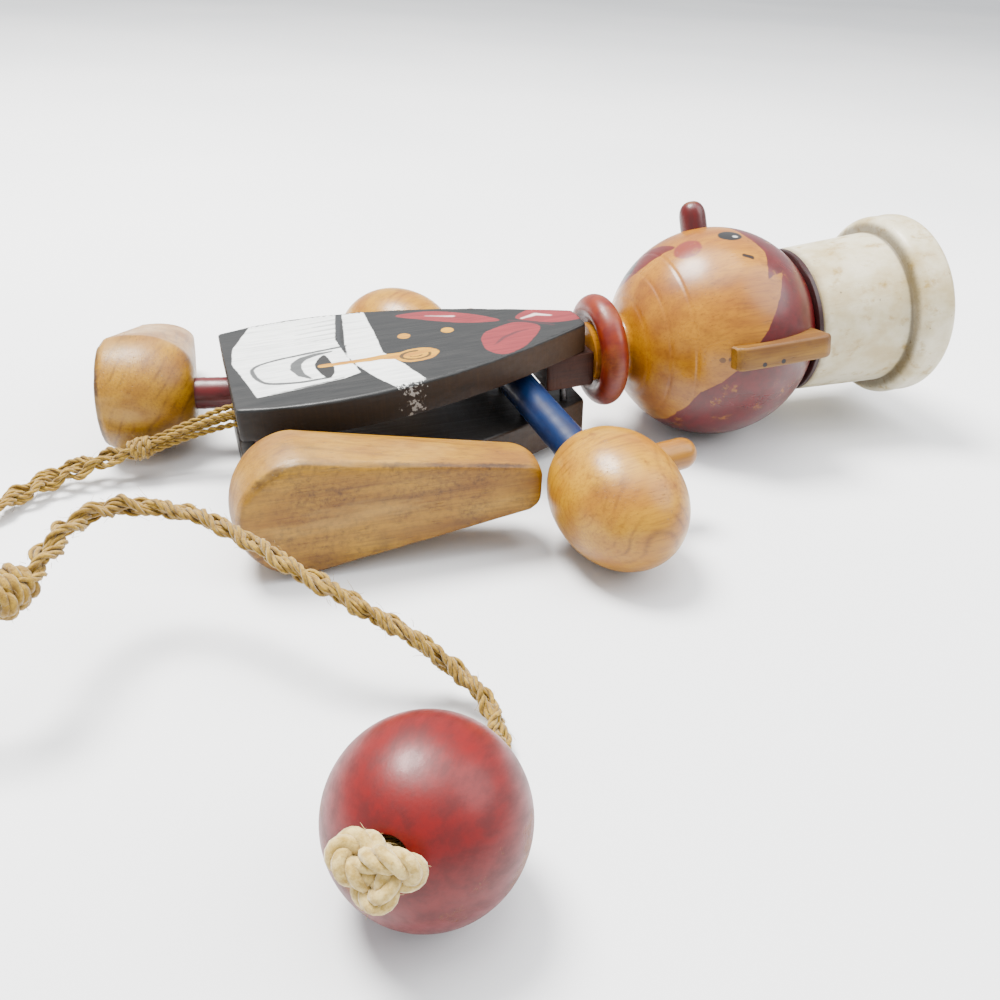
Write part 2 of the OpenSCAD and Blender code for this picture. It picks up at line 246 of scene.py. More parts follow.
# ---------------------------------------------------------------- distances for painted shapes
def poly_distance(P, poly):
    # Signed distance of 2-D points to a closed outline, negative inside
    poly = np.asarray(poly, float)
    x, y = P[:, 0], P[:, 1]
    best = np.full(len(P), 1e9)
    inside = np.zeros(len(P), bool)
    n = len(poly)
    for i in range(n):
        a, b = poly[i], poly[(i + 1) % n]
        e = b - a
        L = max(e @ e, 1e-12)
        t = np.clip(((x - a[0]) * e[0] + (y - a[1]) * e[1]) / L, 0, 1)
        d = np.hypot(x - a[0] - t * e[0], y - a[1] - t * e[1])
        best = np.minimum(best, d)
        c = (a[1] > y) != (b[1] > y)
        with np.errstate(divide="ignore", invalid="ignore"):
            xi = a[0] + (y - a[1]) * e[0] / (e[1] if abs(e[1]) > 1e-12 else 1e-12)
        inside ^= c & (x < xi)
    return np.where(inside, -best, best)


def line_distance(P, line, half):
    # Distance to a stroke whose half width runs over the points of the line
    line = np.asarray(line, float)
    half = np.broadcast_to(half, len(line)) if np.ndim(half) == 0 else np.asarray(half, float)
    best = np.full(len(P), 1e9)
    for i in range(len(line) - 1):
        a, b = line[i], line[i + 1]
        e = b - a
        t = np.clip(((P - a) @ e) / max(e @ e, 1e-12), 0, 1)
        d = np.linalg.norm(P - a - t[:, None] * e, axis=1) - (half[i] + (half[i + 1] - half[i]) * t)
        best = np.minimum(best, d)
    return best


def ellipse_distance(P, c, rx, ry, turn=0.0):
    a = math.radians(turn)
    x = (P[:, 0] - c[0]) * math.cos(a) + (P[:, 1] - c[1]) * math.sin(a)
    y = -(P[:, 0] - c[0]) * math.sin(a) + (P[:, 1] - c[1]) * math.cos(a)
    k = np.hypot(x / rx, y / ry)
    return (k - 1) * min(rx, ry)


# ---------------------------------------------------------------- material helper
DARKEST, WHITE_LOSS, CONTRAST, FULLNESS, BLACK = 0.15, 0.04, 1.8, 1.5, 0.0015
COAT_SHARE = 0.5


def tone(c):
    # Deeper and fuller than under plain light, for the bright studio; whites stay
    lum = 0.2126 * c[0] + 0.7152 * c[1] + 0.0722 * c[2]
    k = DARKEST + (1 - WHITE_LOSS - DARKEST) * lum ** CONTRAST
    return tuple(min(1.0, max(BLACK, (lum + (x - lum) * FULLNESS) * k)) for x in c)


class Mat:
    def __init__(self, name, rough=0.5, coat=0.0, coat_rough=0.1, spec=0.3, sheen=0.0,
                 metallic=0.0):
        self.m = bpy.data.materials.new(name)
        self.m.use_nodes = True
        self.t = self.m.node_tree
        self.t.nodes.clear()
        self.out = self.t.nodes.new("ShaderNodeOutputMaterial")
        self.b = self.t.nodes.new("ShaderNodeBsdfPrincipled")
        self.t.links.new(self.b.outputs[0], self.out.inputs[0])
        b = self.b.inputs
        b["Roughness"].default_value = rough
        b["Coat Weight"].default_value = coat * COAT_SHARE
        b["Coat Roughness"].default_value = coat_rough
        b["Specular IOR Level"].default_value = spec
        b["Sheen Weight"].default_value = sheen
        b["Metallic"].default_value = metallic
        here = self.node("ShaderNodeTexCoord").outputs["Object"]
        self.coord = self.node("ShaderNodeMapping", {"Vector": here}, name="frame").outputs[0]

    def node(self, kind, ins=None, **props):
        n = self.t.nodes.new(kind)
        for k, v in props.items():
            setattr(n, k, v)
        for k, v in (ins or {}).items():
            self.feed(n.inputs[k], v)
        return n

    def feed(self, socket, v):
        if isinstance(v, bpy.types.NodeSocket):
            self.t.links.new(v, socket)
        elif isinstance(v, (tuple, list)) and len(v) == 3 and socket.type == "RGBA":
            socket.default_value = (*tone(v), 1)
        else:
            socket.default_value = v

    def math(self, op, a, b=0.0):
        return self.node("ShaderNodeMath", {0: a, 1: b}, operation=op).outputs[0]

    def add(self, a, b):
        return self.math("ADD", a, b)

    def mul(self, a, b):
        return self.math("MULTIPLY", a, b)

    def sub(self, a, b):
        return self.math("SUBTRACT", a, b)

    def mix(self, fac, a, b):
        return self.node("ShaderNodeMix", {0: fac, 6: a, 7: b}, data_type="RGBA").outputs[2]

    def ramp(self, fac, lo, hi, a=0.0, b=1.0):
        return self.node("ShaderNodeMapRange", {0: fac, 1: lo, 2: hi, 3: a, 4: b}, clamp=True,
                         interpolation_type="SMOOTHSTEP").outputs[0]

    def stain(self, c, amount, lo, hi, most, color):
        return self.mix(self.mul(self.ramp(amount, lo, hi), most), c, color)

    def paint(self, c, wander, layers):
        # Painted shapes laid over one another: name, softness, cover and colour of each
        for name, soft, cover, color in layers:
            c = self.mix(self.mul(self.inside(name, soft, wander), cover), c, color)
        return c

    def place(self, scale=(1, 1, 1), move=(0, 0, 0), turn=(0, 0, 0)):
        # Object coordinates in millimetres, turned, then moved, then scaled
        n = self.node("ShaderNodeVectorMath", {0: self.coord, 1: (1 / MM,) * 3},
                      operation="MULTIPLY")
        m = self.node("ShaderNodeMapping", {"Vector": n.outputs[0], "Location": move,
                                            "Rotation": [math.radians(a) for a in turn]})
        k = self.node("ShaderNodeMapping", {"Vector": m.outputs[0], "Scale": scale})
        return k.outputs[0]

    def cloud(self, scale, detail, rough, move=(0, 0, 0), turn=(0, 0, 0), size=1.0):
        # Noise in millimetres; one scale, or one for each axis
        scale = scale if isinstance(scale, tuple) else (scale,) * 3
        return self.node("ShaderNodeTexNoise", {
            "Vector": self.place(scale, move, turn), "Scale": size, "Detail": detail,
            "Roughness": rough, "Distortion": 0.0}).outputs[0]

    def axes(self, move=(0, 0, 0), turn=(0, 0, 0)):
        place = self.place(move=move, turn=turn)
        return self.node("ShaderNodeSeparateXYZ", {0: place}).outputs

    def attr(self, name):
        return self.node("ShaderNodeAttribute", attribute_name=name).outputs["Fac"]

    def inside(self, name, soft, wander=None):
        # 1 inside a painted shape, with a soft hand-painted edge
        d = self.attr(name)
        if wander is not None:
            d = self.add(d, wander)
        return self.ramp(d, soft, -soft)

    def done(self, color, rough=None, bump=None, strength=0.3, depth=0.1):
        self.feed(self.b.inputs["Base Color"], color)
        if rough is not None:
            self.feed(self.b.inputs["Roughness"], rough)
        if bump is not None:
            n = self.node("ShaderNodeBump", {"Height": bump, "Strength": strength,
                                             "Distance": depth * MM})
            self.t.links.new(n.outputs[0], self.b.inputs["Normal"])
            if self.b.inputs["Coat Weight"].default_value > 0:
                self.t.links.new(n.outputs[0], self.b.inputs["Coat Normal"])
        return self.m


# ---------------------------------------------------------------- materials
def wood_layers(m, pale, mid, dark, pith=(0, 0, 0), turn=(0, 0, 0), ring=1.0, ring_mix=0.35,
                streak=1.0, speck=0.5):
    # Grain along x of the turned space: thin rings round the pith, fine streaks and pores
    s = m.axes(pith, turn)
    wob = m.cloud((0.02, 0.07, 0.07), 2, 0.5, pith, turn)
    r = m.math("SQRT", m.add(m.mul(s[1], s[1]), m.mul(s[2], s[2])))
    r = m.add(r, m.mul(wob, 6.0))
    wave = m.add(m.mul(m.math("SINE", m.mul(r, 2 * math.pi / (1.7 * ring))), 0.5), 0.5)
    rings = m.math("POWER", wave, 5.0)
    fine = m.cloud((0.09, 2.1, 2.1), 6, 0.68, pith, turn, streak)
    broad = m.cloud((0.05, 0.16, 0.16), 3, 0.55, (3, 7, 1), turn)
    depth = m.ramp(m.cloud((0.05, 0.22, 0.22), 2, 0.5, (8, 2, 6), turn), 0.35, 0.7)
    pores = m.ramp(m.cloud((0.22, 4.2, 4.2), 2, 0.5, turn=turn), 0.64, 0.74)
    c = m.mix(m.ramp(broad, 0.3, 0.72), pale, mid)
    c = m.mix(m.mul(m.mul(rings, depth), ring_mix), c, dark)
    c = m.stain(c, fine, 0.42, 0.70, 0.42, dark)
    c = m.mix(m.mul(pores, speck), c, tuple(0.35 * x for x in dark))
    height = m.add(m.mul(fine, 0.5), m.mul(pores, -0.7))
    return c, height, broad


def grime(m, c, amount, scale):
    g = m.cloud(scale, 5, 0.6, (11, 5, 2))
    return m.mix(m.mul(m.ramp(g, 0.55, 0.8), amount), c, (0.10, 0.05, 0.02))


def wood(name, tones, dirt_and_shade, rough, coat, coat_rough, dirt_scale=0.11, **layers):
    m = Mat(name, rough=rough, coat=coat, coat_rough=coat_rough)
    c, h, broad = wood_layers(m, *tones, **layers)
    return m, grime(m, c, dirt_and_shade, dirt_scale), h, broad


def board_material(name, painted):
    m = Mat(name, rough=0.45, coat=0.15, coat_rough=0.3)
    s = m.axes()
    # stained edge with saw marks that stand across the board's thickness
    saw = m.cloud((2.2, 0.5, 0.12), 4, 0.7)
    patch = m.cloud((0.09, 0.09, 0.2), 4, 0.6, (4, 2, 8))
    along = m.ramp(s[0], 20, 76)
    edge = m.mix(along, (0.034, 0.021, 0.013), (0.15, 0.075, 0.026))
    marks = m.mul(m.ramp(saw, 0.4, 0.8), m.ramp(along, 0, 1, 0.18, 0.5))
    edge = m.mix(marks, edge, (0.22, 0.12, 0.05))
    edge = m.mix(m.mul(m.ramp(patch, 0.5, 0.75), 0.7), edge, (0.016, 0.012, 0.010))
    if painted:
        w = m.mul(m.sub(m.cloud(0.55, 3, 0.6), 0.5), 0.5)
        tiny = m.cloud(1.7, 4, 0.7)
        brush = m.cloud((0.12, 1.5, 1.0), 4, 0.6)
        base = m.mix(m.ramp(brush, 0.3, 0.75), (0.030, 0.031, 0.031), (0.066, 0.065, 0.063))
        # lighter grey patches on the black: partly scuffs, partly painted sheen
        scuff_and_sheen = m.ramp(m.cloud((0.25, 0.6, 0.5), 5, 0.7, (2, 2, 2)), 0.62, 0.8)
        base = m.mix(m.mul(scuff_and_sheen, 0.45), base, (0.16, 0.15, 0.14))
        white = m.mix(m.ramp(brush, 0.35, 0.8), (0.88, 0.89, 0.87), (0.70, 0.71, 0.70))
        chip = m.ramp(m.sub(tiny, m.mul(m.ramp(m.attr("rim"), 0.0, 2.6), 0.42)), 0.40, 0.46)
        wm = m.mul(m.inside("white", 0.14, w), m.sub(1.0, chip))
        c = m.mix(wm, base, white)
        yellow = m.mix(m.ramp(brush, 0.3, 0.7), (0.86, 0.52, 0.085), (0.72, 0.36, 0.05))
        pink = m.mix(m.ramp(brush, 0.3, 0.75), (0.62, 0.12, 0.13), (0.47, 0.075, 0.09))
        c = m.paint(c, w, (("folds", 0.25, 0.6, (0.26, 0.27, 0.28)),
                           ("line", 0.16, 0.93, (0.085, 0.09, 0.095)),
                           ("black", 0.12, 1, (0.05, 0.048, 0.046)),
                           ("yellow", 0.12, 1, yellow),
                           ("bowl", 0.14, 0.9, (0.10, 0.07, 0.03)),
                           ("pink", 0.13, 1, pink),
                           ("stroke", 0.2, 0.75, (0.17, 0.06, 0.07)),
                           ("shine", 0.35, 0.85, (0.86, 0.74, 0.72))))
        top = m.ramp(m.add(s[2], m.mul(m.sub(tiny, 0.5), 0.9)), 5.75, 6.1)
        splash = m.ramp(m.sub(m.cloud(0.9, 4, 0.7, (1, 4, 2)),
                              m.mul(m.ramp(m.attr("drips"), 0.0, 3.0), 0.5)), 0.50, 0.54)
        edge = m.mix(m.mul(splash, 0.8), edge, (0.6, 0.58, 0.55))
        c = m.mix(top, edge, c)
        raised = m.add(m.inside("yellow", 0.2), m.inside("pink", 0.2))
        paint = m.add(m.mul(wm, 0.35), m.mul(raised, 0.5))
        h = m.add(paint, m.mul(brush, 0.5))
        rough = m.add(m.mul(m.sub(1.0, top), 0.2), m.ramp(brush, 0.2, 0.8, 0.36, 0.52))
        return m.done(c, rough, h, 0.5, 0.12)
    face = m.cloud((0.06, 0.9, 0.9), 5, 0.6)
    flat = m.mix(m.ramp(face, 0.3, 0.7), (0.050, 0.047, 0.046), (0.085, 0.075, 0.068))
    under = m.ramp(s[2], 0.5, 0.15)
    bare = m.mix(m.ramp(face, 0.3, 0.75), (0.20, 0.105, 0.045), (0.10, 0.05, 0.02))
    top = m.ramp(s[2], 7.75, 7.95)
    c = m.mix(top, edge, flat)
    c = m.mix(under, c, bare)
    return m.done(c, m.ramp(face, 0.2, 0.8, 0.42, 0.62), m.add(face, m.mul(saw, 0.7)), 0.5, 0.15)


def paint_material(name, light, dark, under, rough, coat, wear, wear_scale=0.35,
                   axis_wear=None):
    # Brushed paint over wood, rubbed through in places
    m = Mat(name, rough=rough, coat=coat, coat_rough=0.15)
    b = m.cloud((0.16, 0.5, 0.5), 4, 0.6)
    t = m.cloud(wear_scale, 6, 0.68, (3, 8, 5))
    f = m.cloud(2.2, 4, 0.7)
    c = m.mix(m.ramp(b, 0.3, 0.72), light, dark)
    k = m.ramp(m.add(t, m.mul(m.sub(f, 0.5), 0.25)), 0.82 - 0.22 * wear, 0.88 - 0.2 * wear)
    if axis_wear is not None:
        k = m.math("MAXIMUM", k, axis_wear(m, f))
    grain = m.cloud((0.15, 2.0, 2.0), 4, 0.6)
    wood = m.mix(m.ramp(grain, 0.35, 0.7), under, tuple(0.5 * x for x in under))
    c = m.mix(k, c, wood)
    r = m.add(m.mul(k, 0.2), m.ramp(b, 0.2, 0.8, rough - 0.06, rough + 0.1))
    return m.done(c, r, m.add(m.mul(m.sub(1.0, k), 0.8), m.mul(grain, 0.4)), 0.4, 0.1)


# ---------------------------------------------------------------- pull cord and strings
KNOT = (-124, 1.7, 7)
LOOP_KNOT = (-140.8, -65.2, 21.2)
BALL = (-94.4, -109.8, 12.3)
END_KNOT = (-101.4, -118.8, 17.7)
CORD = [KNOT, (-132, 2.2, 4.9), (-139.5, 1, 3.4), (-146.5, -4, 2.7),
        (-151, -9, 2.9), (-158, -18, 4), (-165, -32, 8), (-167, -47, 13), (-161, -60, 17.5),
        (-151, -66.5, 20.4), LOOP_KNOT, (-137.4, -61, 21.6), (-134.2, -53, 22),
        (-130.3, -47.6, 21.7), (-126, -46, 21.4), (-120.4, -47, 20.9), (-114.8, -50.4, 20.5),
        (-109.4, -56, 19.7), (-103.2, -64, 18.5), (-95.6, -70.4, 15.3), (-87.6, -74.6, 10.4),
        (-82, -77.8, 6), (-78.9, -82.4, 3.7), (-78.2, -87.4, 3), (-79.8, -92.4, 3.1),
        (-83.2, -96.2, 4.3), (-87.3, -100.6, 6.7), BALL, (-100.2, -117.3, 16.8),
        (-102.4, -120.1, 18.6)]
STRINGS = {
    "left_leg_string": [(-122.8, 0.9, 6.2), (-115, 1.2, 8.6), (-106, 0.2, 11), (-97.8, -1.6, 12)],
    "right_leg_string": [(-122.8, 2.6, 6.2), (-115, 3.6, 8.6), (-106, 3.6, 11), (-97.8, 1.6, 12)],
    "left_arm_string": [(-122.8, 0.9, 7.9), (-114, 1.2, 10.8), (-105, 0.2, 13.8), (-90, -1.6, 15.2),
                        (-57.8, -2, 17.4)],
    "right_arm_string": [(-122.8, 2.6, 7.9), (-114, 3.6, 10.8), (-105, 3.2, 13.8), (-90, 1.6, 15.2),
                         (-57.8, 2, 17.4)],
}


def jute_material(name, light, mid, dark):
    m = Mat(name, rough=0.72, sheen=0.25)
    f = m.cloud(0.9, 5, 0.7)
    fibre = m.cloud(3.5, 3, 0.7, (1, 3, 3))
    b = m.cloud(0.06, 2, 0.5)
    c = m.mix(m.ramp(f, 0.3, 0.7), mid, light)
    c = m.stain(c, fibre, 0.45, 0.75, 0.6, dark)
    c = m.stain(c, b, 0.4, 0.7, 0.4, mid)
    # darker where a ply lies deep in its twist: painted shade between the plies
    c = m.mix(m.mul(m.ramp(m.attr("deep"), 0.25, 1.0), 0.75), c, tuple(0.45 * x for x in dark))
    return m.done(c, m.ramp(fibre, 0.2, 0.8, 0.6, 0.85), m.add(f, m.mul(fibre, 0.8)), 0.7, 0.2)


JUTE = jute_material("jute_fibre", (0.72, 0.50, 0.19), (0.52, 0.32, 0.09), (0.20, 0.10, 0.024))


def depth_in(verts, centre, sides, low, high):
    # 0 on the outside of a twist, 1 at its middle; it sets the painted shade between plies
    d = np.linalg.norm(np.array(verts) - np.repeat(centre, sides, axis=0), axis=1)
    return np.clip(1 - (d - low) / (high - low), 0, 1)


def ply_pair(centre, s, pitch, off, r, phase=0.0, sides=6):
    # Two plies twisted round a strand's own line
    t, S, U = frames(centre)
    parts, deep = [], []
    for k in (0, 1):
        a = 2 * math.pi * s / pitch + phase + math.pi * k
        line = centre + off * (np.cos(a)[:, None] * S + np.sin(a)[:, None] * U)
        parts.append(tube_of(line, r, sides))
        deep.append(depth_in(parts[-1][0], centre, sides, 0.1, off + r))
    return (*join(parts), np.concatenate(deep))


def braid(path):
    # Three strands, each of two plies twice over, plaited along a path and looser in places
    step, width, thick, pitch, ply_pitch, ply_off = 0.42, 1.35, 0.55, 19.0, 11.0, 0.44
    line, s = resample(path, step)
    t, S, U = frames(line)
    loose = (1 + 0.75 * np.exp(-((s - 14) / 9) ** 2) + 0.5 * np.exp(-((s - 50) / 12) ** 2)
             + 0.75 * np.exp(-((s - 128) / 13) ** 2) + 0.14 * np.sin(s / 7.3)
             + 0.1 * np.sin(s / 3.1 + 1))
    loose = loose * np.clip((s[-1] - s - 12) / 10, 0.62, 1)
    strands = []
    for k in range(3):
        a = 2 * math.pi * s / pitch + 2 * math.pi * k / 3
        x = width * loose * np.sin(a) + 0.14 * np.sin(s * 0.83 + 2 * k)
        z = thick * loose ** 0.7 * np.sin(2 * a) + 0.1 * np.sin(s * 1.27 + k)
        strand = line + x[:, None] * S + z[:, None] * U
        t2, S2, U2 = frames(strand)
        for j in (0, 1):
            b = 2 * math.pi * s / ply_pitch + math.pi * j + k
            ply = strand + ply_off * (np.cos(b)[:, None] * S2 + np.sin(b)[:, None] * U2)
            strands.append(ply_pair(ply, s, 3.6 + 0.4 * k, 0.27, 0.36, phase=k + j, sides=5))
    return strands, line


def fuzz(path, count, spread, length, seed=3):
    # Loose fibres that stand off a strand
    r, lowest = 0.035, 0.15
    g = np.random.default_rng(seed)
    line, s = resample(path, 0.5)
    t, S, U = frames(line)
    parts = []
    for _ in range(count):
        k = g.integers(1, len(line) - 2)
        a = g.uniform(0, 2 * math.pi)
        out = math.cos(a) * S[k] + math.sin(a) * U[k]
        p0 = line[k] + out * spread * 0.75
        d = out * g.uniform(0.25, 0.7) + t[k] * g.choice((-1, 1)) * g.uniform(0.5, 1)
        L = length * g.uniform(0.5, 1.2)
        p1 = p0 + d * L * 0.5
        p2 = p1 + (d + g.normal(0, 0.3, 3)) * L * 0.4
        p2[2], p1[2] = max(p2[2], lowest), max(p1[2], lowest)
        parts.append(tube_of(np.array([p0, p1, p2]), np.array([r, r * 0.8, r * 0.4]), 3))
    return join(parts)


def fibres(name, node, strands, loose, mat=JUTE):
    # Twisted strands with loose fibres on them
    deep = np.concatenate([p[2] for p in strands] + [np.zeros(len(loose[0]))])
    return put(name, join([p[:2] for p in strands] + [loose]), GROUND, "pull", [node], mat,
               smooth=180, fields={"deep": deep})


path = spline(CORD, 6)
strands, line = braid(path)
cord = fibres("pull_cord_braid", "pull_cord", strands, fuzz(path, 420, 1.9, 1.8))


def unit(v):
    return np.array(v, float) / np.linalg.norm(v)


def around(axis, start):
    # Two directions square to an axis, the first square to start as well
    side = unit(np.cross(start, axis))
    return side, np.cross(axis, side)


def wraps(centre, along, turns, radius, pitch, phase=0.0):
    # A strand wound about a direction
    along = unit(along)
    side, up = around(along, (0.1, 0.2, 1))
    q = np.linspace(0, 1, int(turns * 26))
    a = 2 * math.pi * turns * q + phase
    fade = np.sin(np.pi * np.clip(q * 1.02, 0.04, 0.96)) ** 0.35
    rad = radius * (0.72 + 0.28 * fade)
    return (np.array(centre) + ((q - 0.5) * pitch * turns)[:, None] * along
            + (rad * np.cos(a))[:, None] * side + (rad * np.sin(a))[:, None] * up)


def knot_piece(name, node, centre, along, radius, turns, pitch, ply):
    strands = []
    for k, phase in enumerate((0.0, 2.1)):
        lead = np.array(centre) + (0.4 * k, 0.3 * k, 0)
        tilt = np.array(along, float) + (0.5 * k - 0.25, 0.35 - 0.7 * k, 0.3 * k)
        p = wraps(lead, tilt, turns, radius - 0.25 * k, pitch, phase)
        strands.append(ply_pair(*resample(p, 0.4), 7 * ply, 0.8 * ply, ply, phase=phase))
    loose = fuzz(wraps(centre, along, 2.5, radius, pitch), 60, 1.3, 1.8, seed=9)
    return fibres(name, node, strands, loose)


gather = knot_piece("gather_knot_wraps", "gather_knot", KNOT, (-8, 0.5, -2.1), 1.75, 2.4, 1.7,
                    0.42)
loop_knot = knot_piece("loop_knot_wraps", "loop_knot", LOOP_KNOT, (3.4, 4.2, 0.4), 2.45, 2.5,
                       2.3, 0.6)

for k, (name, points) in enumerate(STRINGS.items()):
    p = spline(points, 8)
    twist = ply_pair(*resample(p, 0.4), 3.6, 0.3, 0.36, phase=k)
    fibres(name + "_twist", name, [twist], fuzz(p, 30, 0.6, 1.2, seed=20 + k))

# pull ball: turned, with a worn red coat
BALL_R, MOUTH_R = 12.3, 2.5
bore = unit(np.array(END_KNOT) - BALL)
ball_m = (T(BALL[0] + HEAD_AT[0], BALL[1] + HEAD_AT[1], BALL[2])
          @ Vector(bore).to_track_quat("X", "Z").to_matrix().to_4x4())
face_x = math.sqrt(BALL_R ** 2 - MOUTH_R ** 2)
side_angle = 90 - 2.5 - math.degrees(math.asin(MOUTH_R / BALL_R))
lip = [(3.5, MOUTH_R - 0.25), (0.5, MOUTH_R - 0.2), (0.05, MOUTH_R + 0.12)]
prof = [(-face_x + x, r) for x, r in lip]
prof += cap(0, BALL_R, BALL_R, np.linspace(-side_angle, side_angle, 61))
prof += [(face_x - x, r) for x, r in lip[::-1]]


def ball_wear(m, f):
    big = m.cloud(0.09, 3, 0.55, (4, 1, 6))
    return m.mul(m.ramp(m.add(big, m.mul(m.sub(f, 0.5), 0.3)), 0.60, 0.72), 0.75)


ball = put("pull_ball_turned", lathe(prof, 120), ball_m, "pull", ["pull_ball"],
           paint_material("ball_red", (0.50, 0.055, 0.04), (0.30, 0.025, 0.028),
                          (0.62, 0.27, 0.06), rough=0.42, coat=0.12, wear=0.3,
                          axis_wear=ball_wear))


def cotton_material():
    m = Mat("knot_cotton", sheen=0.35)
    f = m.cloud(0.8, 5, 0.7)
    t = m.cloud(3.0, 3, 0.7)
    c = m.mix(m.ramp(f, 0.3, 0.7), (0.86, 0.70, 0.40), (0.66, 0.47, 0.20))
    # darker where a yarn lies deep in the knot: painted shade between the yarns
    c = m.mix(m.mul(m.ramp(m.attr("deep"), 0.3, 1.0), 0.6), c, (0.2, 0.12, 0.05))
    return m.done(c, 0.82, m.add(f, m.mul(t, 0.7)), 0.7, 0.2)


def end_knot():
    # An overhand knot drawn tight against the ball
    q = np.linspace(0, 2 * math.pi, 120, endpoint=False)
    side, up = around(bore, (0, 0, 1.0))
    x = (np.sin(q) + 2 * np.sin(2 * q)) * 1.45
    y = (np.cos(q) - 2 * np.cos(2 * q)) * 0.98
    z = -np.sin(3 * q) * 0.95
    p = (np.array(END_KNOT) + bore * 2.3 + x[:, None] * side + y[:, None] * up
         + z[:, None] * bore)
    line, s = resample(np.vstack([p, p[:1]]), 0.4)
    t, S, U = frames(line)
    strands = []
    for k in range(3):
        a = 2 * math.pi * s / 6.0 + 2 * math.pi * k / 3
        yarn = line + 0.72 * (np.cos(a)[:, None] * S + np.sin(a)[:, None] * U)
        v, f = tube_of(yarn, 0.78, 7)
        strands.append((v, f, depth_in(v, line, 7, 0.1, 1.5)))
    return fibres("ball_knot_overhand", "ball_knot", strands, fuzz(p, 70, 1.3, 1.6, seed=31),
                  cotton_material())


ball_knot = end_knot()


# ---------------------------------------------------------------- body boards
BOARD_L, FOOT_W, NECK_W, FRONT_T, BACK_T = 74.0, 38.6, 8.0, 6.5, 8.0
SIDE = [(0, FOOT_W / 2), (22, 26), (46, 18.8), (BOARD_L, NECK_W / 2)]
NAILS = [(SHOULDER[0], SHOULDER[1]), (SHOULDER[0], -SHOULDER[1]), (HIP[0], HIP[1]),
         (HIP[0], -HIP[1]), (-36.6, -3)]


def half_width(x):
    t = np.linspace(0, 1, 400)
    b = [(1 - t) ** 3, 3 * (1 - t) ** 2 * t, 3 * (1 - t) * t * t, t ** 3]
    bx = sum(w * p[0] for w, p in zip(b, SIDE))
    by = sum(w * p[1] for w, p in zip(b, SIDE))
    return np.interp(x, bx, by)


def board_loops(thick, seed, cols=100, rows=190, dimples=()):
    # Cross-sections along the board; worn corners, a slightly uneven face
    g = np.random.default_rng(seed)
    xs = np.concatenate([[0.0, 0.0, 0.12], np.linspace(0.55, BOARD_L - 0.45, rows),
                         [BOARD_L - 0.1, BOARD_L, BOARD_L]])
    inset = np.zeros(len(xs))
    inset[[0, 1, 2]] = (0.55, 0.3, 0.12)
    inset[[-1, -2, -3]] = (0.5, 0.28, 0.1)
    wear = np.convolve(g.normal(0, 1, len(xs) + 8), np.ones(9) / 9, "valid")
    loops = []
    for i, x in enumerate(xs):
        w = half_width(x) - inset[i] * 0.6
        b = min(0.95, max(0.3, 0.5 + 0.22 * wear[i]))
        z1, z0 = thick - inset[i], inset[i]
        t = np.linspace(-1, 1, cols)
        top = [(x, q * (w - b), z1) for q in t]
        right = [(x, w - 0.55 * b, z1 - 0.16 * b), (x, w - 0.16 * b, z1 - 0.55 * b), (x, w, z1 - b),
                 (x, w + 0.03, 0.5 * thick), (x, w, z0 + 0.5), (x, w - 0.15, z0 + 0.15)]
        under = []
        for q in t[::-1]:
            y, z = q * (w - 0.5), z0
            for dx, dy in dimples:
                r = math.hypot(x - dx, y - dy)
                z = max(z, z0 + 0.75 * min(1, max(0, (2.1 - r) / 0.35)))
            under.append((x, y, z))
        left = [(p[0], -p[1], p[2]) for p in right[::-1]]
        loops.append(top + right + under + left)
    return loops


